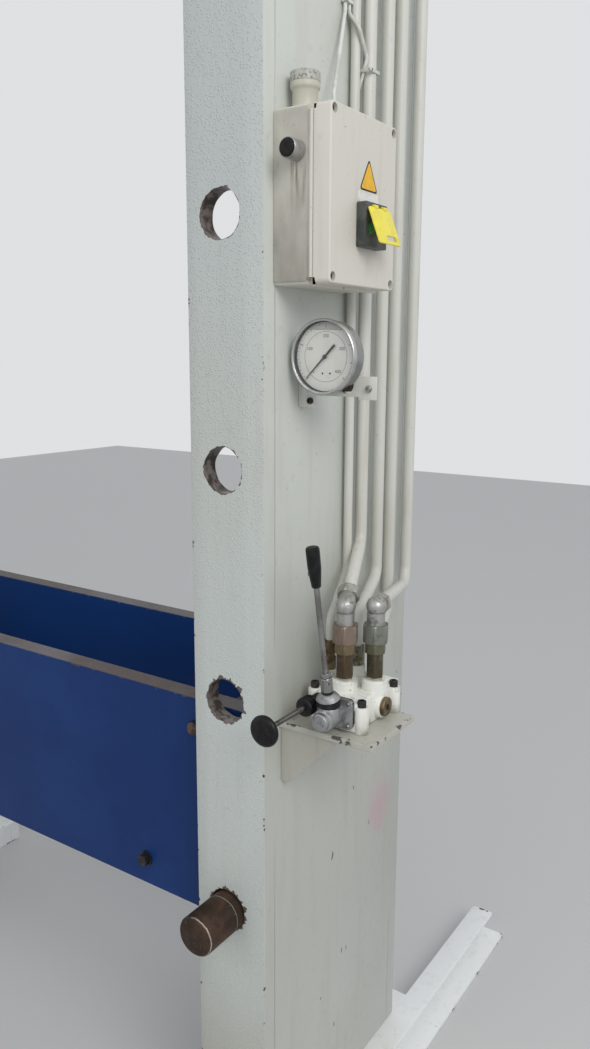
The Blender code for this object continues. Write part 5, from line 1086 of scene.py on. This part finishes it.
case = [(0, 34), (50, 34), (52, 32.5), (52, 9.5), (53.5, 9), (55, 7.6), (55, 2.4), (54.4, 0.8), (53.2, 0),
        (51.9, 0.2), (50.9, 1.2), (50.9, 3.2), (51.2, 3.2), (51.2, 29), (0, 29)]
stem = side(85, 89, 1430)
make("gauge_case_round", [turned(case, gauge_at(0), 96)], finish["case"], replaces=["gauge_case"])
make("gauge_seal", [turned([(49.9, 5.7), (50.9, 5.7), (50.9, 10.5), (49.9, 10.5)], gauge_at(0), 96, closed=True)],
     finish["rubber"], body="frame")
make("gauge_stem", [hexagon(stem, (0, 1, 0), 11, 0, 30)], finish["rust"], body="frame")
DIAL = 10.6      # depth of the dial's face behind the front of the bezel
face = Finish("dial", roughness=0.5)
age = face.noise(30.0, 4, 0.6)
level = face.z + (face.x - 0.803) * 0.02
wet = level.rise(1.5098, 1.5103)
edge = abs(level - 1.5100).rise(0.0012, 0.0004)
tone = face.mix(wet, (0.68, 0.67, 0.62), (0.43, 0.425, 0.395))
tone = face.mix(age.rise(0.45, 0.7) * 0.4, tone, (0.56, 0.54, 0.48))
face.set(face.mix(edge * 0.6, tone, (0.22, 0.21, 0.19)), age * 0.2 + 0.4)
make("gauge_dial_face", [turned([(0, 0), (50.9, 0), (50.9, 1.5), (0, 1.5)], gauge_at(DIAL), 96)], face.material,
     replaces=["gauge_dial"])


print("case and dial made")

# %% [markdown]
# The dial's marks are thin pieces on its face. They could be drawn in the material, but pieces stay crisp from
# near. The numbers are plain steps of a hundred. The needle is its own piece, as it turns with the pressure.

# %% Marks, glass, needle and bracket of the gauge
SCALE_START, SCALE_SWEEP = 135, 270     # degrees


def mark(angle, inner, outer, width):
    """Thin bar on the dial, pointing at its middle, angle in degrees on from zero."""
    a = radians(SCALE_START + angle)
    work = block(inner * MM, outer * MM, -0.00012, 0, -width / 2 * MM, width / 2 * MM)
    turn = Matrix.Translation(GAUGE + Vector((0, (DIAL - 0.02) * MM, 0))) @ Matrix.Rotation(a, 4, "Y")
    bmesh.ops.transform(work, matrix=turn, verts=work.verts)
    return work


def number(text, angle, radius, size):
    """Flat figures on the dial."""
    curve = bpy.data.curves.new("figure", "FONT")
    curve.body, curve.size, curve.align_x, curve.align_y = text, size * MM, "CENTER", "CENTER"
    curve.resolution_u = 3
    curve.extrude = 0.00005
    thing = bpy.data.objects.new("figure", curve)
    work = bmesh.new()
    work.from_mesh(thing.to_mesh())
    thing.to_mesh_clear()
    bpy.data.objects.remove(thing, do_unlink=True)
    a = radians(SCALE_START + angle)
    spot = GAUGE + Vector((radius * MM * cos(a), (DIAL - 0.1) * MM, -radius * MM * sin(a)))
    stand = Matrix.Translation(spot) @ Matrix.Rotation(pi / 2, 4, "X")
    bmesh.ops.transform(work, matrix=stand, verts=work.verts)
    return work


marks = []
for k in range(41):
    inner = 42 if k % 10 == 0 else (44 if k % 5 == 0 else 46)
    marks.append(mark(SCALE_SWEEP * k / 40, inner, 48.5, 0.9 if k % 10 == 0 else 0.5))
arc = turned([(36.0, -0.10), (36.5, -0.10), (36.5, 0), (36.0, 0)], gauge_at(DIAL), 96, closed=True)
figures = [number(str(k * 100), SCALE_SWEEP / 4 * k, 30, 7.0) for k in range(5)]
rivets = []
for x in (-5, 8):
    spot = aim(GAUGE + Vector((x * MM, DIAL * MM, -0.024)), (0, 1, 0))
    rivets.append(turned([(0, -0.3), (1.6, -0.3), (1.6, 0), (0, 0)], spot, 20))
make("dial_marks", marks + [arc] + rivets, finish["ink"], body="frame")
make("dial_numbers", figures, finish["ink"], body="frame")
make("dial_red_mark", [mark(236, 43, 48.5, 1.2)], finish["red"], body="frame")
pane = Finish("gauge glass", roughness=0.04, specular=0.6)
pane.shader.inputs["Alpha"].default_value = 0.05
make("gauge_glass_pane", [turned([(0, 0), (50.9, 0), (50.9, 2), (0, 2)], gauge_at(3.6), 96)],
     pane.set((0.75, 0.78, 0.77)), replaces=["gauge_glass"])
hub = turned([(0, 0), (2.6, 0), (3.2, 0.6), (3.2, 2.4), (1.5, 2.4), (1.5, 4.1), (0, 4.1)], UP, 36)
bmesh.ops.transform(hub, matrix=aim((0, 0, 0), (0, 1, 0)), verts=hub.verts)
blade = plate([(-0.024, -0.0017), (0, -0.0013), (0.044, -0.0005), (0.044, 0.0005), (0, 0.0013), (-0.024, 0.0017)],
              0.0006, 0.0016, "y")
for work in (hub, blade):
    place = Matrix.Translation(GAUGE + Vector((0, 0.0062, 0))) @ Matrix.Rotation(radians(SCALE_START), 4, "Y")
    bmesh.ops.transform(work, matrix=place, verts=work.verts)
make("gauge_needle_blade", [blade, hub], finish["black"], replaces=["gauge_needle"])
strap = [(0.3, 1395), (30, 1395), (30, 1413), (106, 1413), (106, 1409), (135, 1409), (135, 1443), (0.3, 1443)]
strap = [(side(x, 0, 0).x, z * MM) for x, z in strap]
strap = break_edges(plate(strap, side(0, 92.3, 0).y, side(0, 96.3, 0).y, "y"), 0.6)
works = [carve(strap, rod(side(85, 80, 1430), side(85, 110, 1430), 12.5, 36)),
         break_edges(side_block(0.3, 4, 95.9, 132.3, 1395.4, 1442.6), 0.6)]
make("gauge_bracket_bar", works, finish["pipe"], replaces=["gauge_bracket"])
for name, x, z, key, slot_name in (("bracket_bolt", 22, 1405, "bolt", "rusty_steel"),
                                   ("bracket_screw", 123, 1425, "steel", "bare_steel")):
    head = turned([(0, 0), (4.4, 0), (5, 0.7), (5, 4.6), (0, 4.6)], aim(side(x, 88.2, z), (0, 1, 0)), 40)
    socket = turned([(0, -2), (2.6, -2), (2.6, 2.4), (0, 2.4)], aim(side(x, 88.2, z), (0, 1, 0)), 6)
    make(name, [carve(head, socket)], finish[key], body="frame")
print("gauge made")

# %% [markdown]
# ## The valve
# The valve stands on a welded shelf. Its body is a white casting with round ports and bolt ears, held by
# black cap screws. A lever in a rubber boot works it, and a long screw with a mushroom knob sets the pressure.
# Casting, boot, screws and plugs are separate pieces here, because each is another material.

# %% Shelf and valve body
softened("valve_bracket", finish["shelf"], 1.2, 25)
FLOOR = 898.3       # underside of the casting, on the shelf
works = [break_edges(side_block(44, 128, 66, 206, FLOOR, 946), 3.0, segments=3)]
screws = []
for x, inward, y in ((132, 118, 75), (132, 118, 180), (28, 50, 104), (28, 50, 176)):
    works.append(break_edges(side_block(min(x, inward), max(x, inward), y - 9, y + 9, FLOOR + 14, 938), 2.0))
    ear = [(0, 0), (10.4, 0), (11, 0.8), (11, 41.6), (10, 43), (0, 43)]
    works.append(turned(ear, aim(side(x, y, FLOOR), (0, 0, 1)), 48))
    head = turned([(0, 41), (7, 41), (7, 52.2), (6.3, 53), (0, 53)], aim(side(x, y, FLOOR), (0, 0, 1)), 48)
    screws.append(carve(head, rod(side(x, y, FLOOR + 47), side(x, y, FLOOR + 56), 3.6, 6, turn=y)))
for x, y, r in ((77, 115, 21), (116, 144, 21), (33, 141, 13), (58, 186, 15), (88, 196, 13)):
    port = [(0, r), (r, r), (r, 63.2), (r - 1.4, 64.7), (0, 64.7)]
    works.append(turned(port, aim(side(x, y, FLOOR), (0, 0, 1)), 64))
cheek = [(0, 0), (19.5, 0), (19.5, 31.5), (18, 33.5), (0, 33.5)]
works.append(turned(cheek, aim(side(103, 140, 921), (1, 0, 0)), 64))
make("valve_casting", works, finish["valve"], replaces=["valve_body"])
make("valve_cap_screws", screws, finish["bolt"], body="frame")
plug = turned([(0, 0), (15.5, 0), (15.5, 11.4), (14.2, 12.8), (0, 12.8)], aim(side(130.2, 140, 921), (1, 0, 0)), 60)
socket = turned([(0, 6), (5.6, 6), (5.6, 16), (0, 16)], aim(side(130.2, 140, 921), (1, 0, 0)), 6, turn=0.3)
make("valve_side_plug", [carve(plug, socket)], finish["brass"], body="frame")

print("shelf and valve body made")

# %% [markdown]
# A cast housing is screwed to the valve's front. The lever goes through a rubber ring and a steel dust cover, and
# stands on a ball. It is turned in its own frame, which leans to the front, so every part of it shares one axis.

# %% Lever and its housing
barrel = [(0, 0), (12.4, 0), (13.6, 0.8), (14, 2), (14, 9), (17, 11), (17, 52), (0, 52)]
works = [turned(barrel, aim(side(97, 5.7, 930), (0, 1, 0)), 60)]
flange = rounded(side(73, 0, 0).x, side(124, 0, 0).x, 0.906, 0.954, 0.007, 6)
works.append(break_edges(plate(flange, side(0, 56.7, 0).y, side(0, 64.3, 0).y, "y"), 1.0))
neck = [(0, 0), (17.5, 0), (17.5, 17), (16.5, 18.5), (0, 18.5)]
works.append(turned(neck, aim(side(97, 34, 930), (0, 0, 1)), 64))
make("lever_housing_casting", works, finish["aluminium"], replaces=["lever_housing"])
gasket = plate(flange, side(0, 64.3, 0).y, side(0, 65.7, 0).y, "y")
make("lever_gasket", [gasket], finish["rubber"], body="frame")
ring = [(14, 18.5), (17.4, 18.5), (18.4, 19.5), (18.4, 22.5), (17.6, 23.2), (17.6, 24), (18.4, 24.8), (18.4, 27),
        (17.4, 28), (14, 28)]
make("lever_ring", [turned(ring, aim(side(97, 34, 930), (0, 0, 1)), 64, closed=True)], finish["rubber"],
     body="frame")
small = []
for dx, dz in ((-18, -18), (21, -18), (-18, 18), (21, 18)):
    head = turned([(0, 0), (3.4, 0), (4, 0.7), (4, 4), (0, 4)], aim(side(97 + dx, 53.2, 930 + dz), (0, 1, 0)), 36)
    small.append(carve(head, rod(side(97 + dx, 51, 930 + dz), side(97 + dx, 55.4, 930 + dz), 2.2, 6)))
make("lever_housing_screws", small, finish["steel"], body="frame")

TILT = radians(11.2)        # the lever leans to the front at rest
lever_at = aim(side(97, 34, 953), (0, -sin(TILT), cos(TILT)))
stick = [(0, -7), (3.5, -6.06), (6.06, -3.5), (7, 0), (6.4, 2.8), (5.5, 4.5), (5.5, 22), (8.7, 22.4), (9.5, 23.2),
         (9.5, 45.2), (8.7, 46), (4.4, 46), (4.4, 249), (0, 249)]
lever = turned(stick, lever_at, 48)
hole = turned([(0, 5), (2.2, 5), (2.2, 12), (0, 12)], aim(lever_at @ Vector((0, 0, 0.037)), (0.75, -0.65, 0)), 24)
lock = hexagon(side(97, 34, 953), (0, -sin(TILT), cos(TILT)), 8.6, 46.2, 54)
make("valve_lever_rod", [carve(lever, hole), lock], finish["satin"], replaces=["valve_lever"])
outer = [(20.8 * sin(radians(a)), 20.8 * cos(radians(a))) for a in (64, 56, 48, 40, 32, 26)]
inner = [(19.4 * sin(radians(a)), 19.4 * cos(radians(a))) for a in (20, 28, 36, 44, 52, 60, 64)]
collar = [(5.7, 18.7), (8.8, 18.7), (8.8, 23.6), (7.6, 24.4), (5.7, 24.4)]
make("lever_dust_cover", [turned(outer + inner, lever_at, 64, closed=True)], finish["aluminium"],
     body=body_of["valve_lever"])
make("lever_collar", [turned(collar, lever_at, 48, closed=True)], finish["rubber"], body=body_of["valve_lever"])
grip = [(4.7, 195), (6.4, 195), (7, 195.8), (8.6, 210), (10, 225), (10.3, 250), (10.2, 254), (9.4, 256.2), (7.5, 257),
        (0, 257), (0, 249.5), (4.7, 249.5)]
make("lever_grip_handle", [turned(grip, lever_at, 60, closed=True)], finish["black"], replaces=["lever_grip"])


print("lever made")

# %% [markdown]
# A long screw with a mushroom knob sets the relief pressure, through a knurled lock nut. The thread is made of
# rings, not a true helix. From any distance at which it is seen the two look alike, and rings need fewer faces.

# %% Relief valve's nut, knob and screw


def knurl(angle, radius, height):
    return 0.35 * cos(angle * 36) if radius > 14 else 0


nut = [(4.3, 0), (11.4, 0), (12.4, 0.6), (14.7, 2.2), (15, 3), (15, 21), (14.4, 22), (10.5, 23.4), (10.5, 45.4),
       (10, 46), (4.3, 46)]
make("relief_lock_nut", [turned(nut, aim(side(60, 19.7, 941), (0, 1, 0)), 144, closed=True, wave=knurl)],
     finish["black"], replaces=["relief_sleeve"])
knob = [(0, 0), (12, 0.1), (17, 0.7), (21, 2.4), (23.4, 5), (24, 7.4), (23.4, 9.8), (21.6, 11), (12, 12.6), (9, 14),
        (8.2, 17), (8, 20), (7, 21), (0, 21)]
make("relief_knob_head", [turned(knob, aim(side(60, -89, 941), (0, 1, 0)), 72)], finish["black"],
     replaces=["relief_knob"])
screw = [(0, 20.5), (3.95, 20.5)]
for k in range(40):
    screw += [(3.95, 22 + k * 2.1), (3.2, 23.05 + k * 2.1)]
screw += [(3.9, 107), (3.9, 150), (0, 150)]
make("relief_screw", [turned(screw, aim(side(60, -89, 941), (0, 1, 0)), 36)], finish["thread"],
     body=body_of["relief_knob"])
print("relief valve made")

# %% [markdown]
# ## Elbows, pipes and cables
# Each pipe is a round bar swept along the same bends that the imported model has. The union nuts are turned
# hexagons. Their plating has gone brown and green with oil, so it changes with height.

# %% Elbows and fittings
SHADES = {"left": [(0.095, 0.068, 0.042), (0.20, 0.155, 0.09), (0.27, 0.205, 0.165)],
          "right": [(0.085, 0.072, 0.042), (0.16, 0.155, 0.10), (0.24, 0.25, 0.215)]}
PIPE_TOP = {0: side(22, 255, 1158), 3: side(22, 431.1, 1046)}
starts = {}
for name, (x, y), index in (("left", (77, 115), 0), ("right", (116, 144), 3)):
    low, middle, nut = SHADES[name]
    plating = band_finish(name + " elbow plating", [(-1, (0.50, 0.48, 0.41)), (0.9665, low), (1.0066, middle),
                                                    (1.0238, nut), (1.0552, (0.44, 0.44, 0.42))],
                          0.36, 0.75, tuple(c * 0.6 for c in nut))
    foot, ball = side(x, y, 963.3), side(x, y, 1083)
    out = (PIPE_TOP[index] - ball).normalized()
    works = [hexagon(foot, (0, 0, 1), 14.5, 0, 43, 0.4), hexagon(foot, (0, 0, 1), 18, 43.5, 60, 0.4),
             hexagon(foot, (0, 0, 1), 22, 61, 91, 0.4),
             turned([(0, 40), (13, 40), (13, 62), (17, 90), (14.5, 92), (14.5, 110), (0, 110)],
                    aim(foot, (0, 0, 1)), 48)]
    dome = [(0, -16)] + [(16 * sin(k * pi / 16), -16 * cos(k * pi / 16)) for k in range(1, 11)]
    works.append(turned(dome + [(14, 8), (14, 24), (0, 24)], aim(ball, out), 64))
    make(name + "_elbow_body", works, plating, replaces=[name + "_elbow"])
    make(name + "_elbow_nut", [hexagon(ball, out, 19, 21, 38, 0.31)], finish["zinc"], body="frame")
    starts[index] = ball + out * 38.3 * MM
low = side(33, 141, 963.3)
works = [hexagon(low, (0, 0, 1), 10, 0, 22), turned([(0, 20), (8, 20), (8, 30), (0, 30)], aim(low, (0, 0, 1)), 36),
         hexagon(low, (0, 0, 1), 11.5, 28, 50, 0.2)]
make("inner_fitting_brass", works, finish["brass"], replaces=["inner_fitting"])
print("elbows made")

# %% [markdown]
# Five pipes climb the column and cross over the crown. Each has a list of the places where it bends. They could be
# drawn by eye, but then the runs would not stay parallel, as they do on the press.

# %% Pipes and clamp


def spots(*points):
    """Points given as side millimetres, or as world metres where they are vectors already."""
    return [p if isinstance(p, Vector) else side(*p) for p in points]


TOP_RUN = 2.800
routes = {
    "return_pipe": (spots(starts[0], PIPE_TOP[0], (22, 255, 2860), Vector((-0.1697, 0.017, 2.860))), 10.5, 32),
    "upper_port_pipe": (spots((58, 186, 983.3), (58, 186, 1045), (22, 313.7, 1086), (22, 313.7, 2800),
                              Vector((0.1653, 0.0757, TOP_RUN))), 10.5, 26),
    "lower_port_pipe": (spots((88, 196, 983.3), (88, 196, 1012), (16, 372.4, 1012), (16, 372.4, 2800),
                              Vector((0.25, 0.1344, TOP_RUN)), Vector((0.25, 0.1344, 2.440)),
                              Vector((0.1653, 0.1344, 2.440))), 10.5, 26),
    "pressure_pipe": (spots(starts[3], PIPE_TOP[3], (22, 431.1, 2980.3), Vector((0.040, 0.1931, 2.9803)),
                            Vector((0.040, -0.110, 2.9803)), Vector((0.040, -0.110, 2.9356))), 10.5, 32),
    "gauge_pipe": (spots((33, 141, 1013.6), (33, 141, 1047.6), (12, 228, 1110), (12, 228, 2800),
                         Vector((0.1653, -0.010, TOP_RUN))), 7.5, 24),
}
for node, (route, radius, bend) in routes.items():
    make(node + "_tube", [pipe(route, radius, bend)], finish["pipe"], replaces=[node])
for name, x, y in (("second", 58, 186), ("third", 88, 196)):
    make(name + "_port_nut", [hexagon(side(x, y, 963.3), (0, 0, 1), 14, 0, 34, 0.2)], finish["olive"],
         body="frame")
softened("pipe_clamp", finish["steel"], 1.0, 50)
print("pipes and clamp made")

# %% [markdown]
# Two thin leads leave the switch box, are tied together, and follow the pipes to the motor. They hang so tight that
# a cloth or rope simulation would add nothing. The ties are flat bands with a small locking head.

# %% Cables and ties
CABLE_LEVEL, CABLE_TOP, CABLE_END = 2.7883, 2.9903, 0.4703


def cable(name, low_points, y, end):
    """Lead that climbs the column at that depth, crosses the deck and ends in the motor's cable box."""
    turn_up = side(6, y, 1985)
    depth = turn_up.y
    route = low_points + [turn_up, Vector((turn_up.x, depth, CABLE_LEVEL)), Vector((end, depth, CABLE_LEVEL)),
                          Vector((end, depth, CABLE_TOP)), Vector((CABLE_END, depth, CABLE_TOP))]
    make(name + "_lead", [pipe(route, 3.0, 14, 12, 6)], finish["cable"], replaces=[name])


cable("motor_cable", spots((30, 136, 1779), (30, 136, 1850)), 205, 0.520)
cable("limit_cable", spots((40, 213.3, 1700), (40, 241.2, 1700), (10, 241.2, 1740), (10, 241.2, 1880),
                           (25, 241.2, 1925), (24, 217, 1962)), 217, 0.532)


def tie(name, x0, x1, y0, y1, z):
    """Flat tie with its locking head."""
    def ring(grow, corner):
        low, high = side(x0 - grow, y0 - grow, z), side(x1 + grow, y1 + grow, z)
        return rounded(low.x, high.x, low.y, high.y, corner * MM, 5)
    band = carve(plate(ring(1.6, 3), (z - 2.4) * MM, (z + 2.4) * MM, "z"),
                 plate(ring(0, 2), (z - 9) * MM, (z + 9) * MM, "z"))
    head = break_edges(side_block(x1 - 3, x1 + 1.6, y0 - 1.6, y0 + 4.5, z - 2.4, z + 2.4), 0.5)
    make(name + "_band", [band, head], finish["cable"], replaces=[name])


tie("cable_tie", 2.4, 9.6, 201.4, 220.6, 2000)
tie("pipe_tie", 11.2, 32.8, 238.8, 265.8, 1908)
print("cables and ties made")
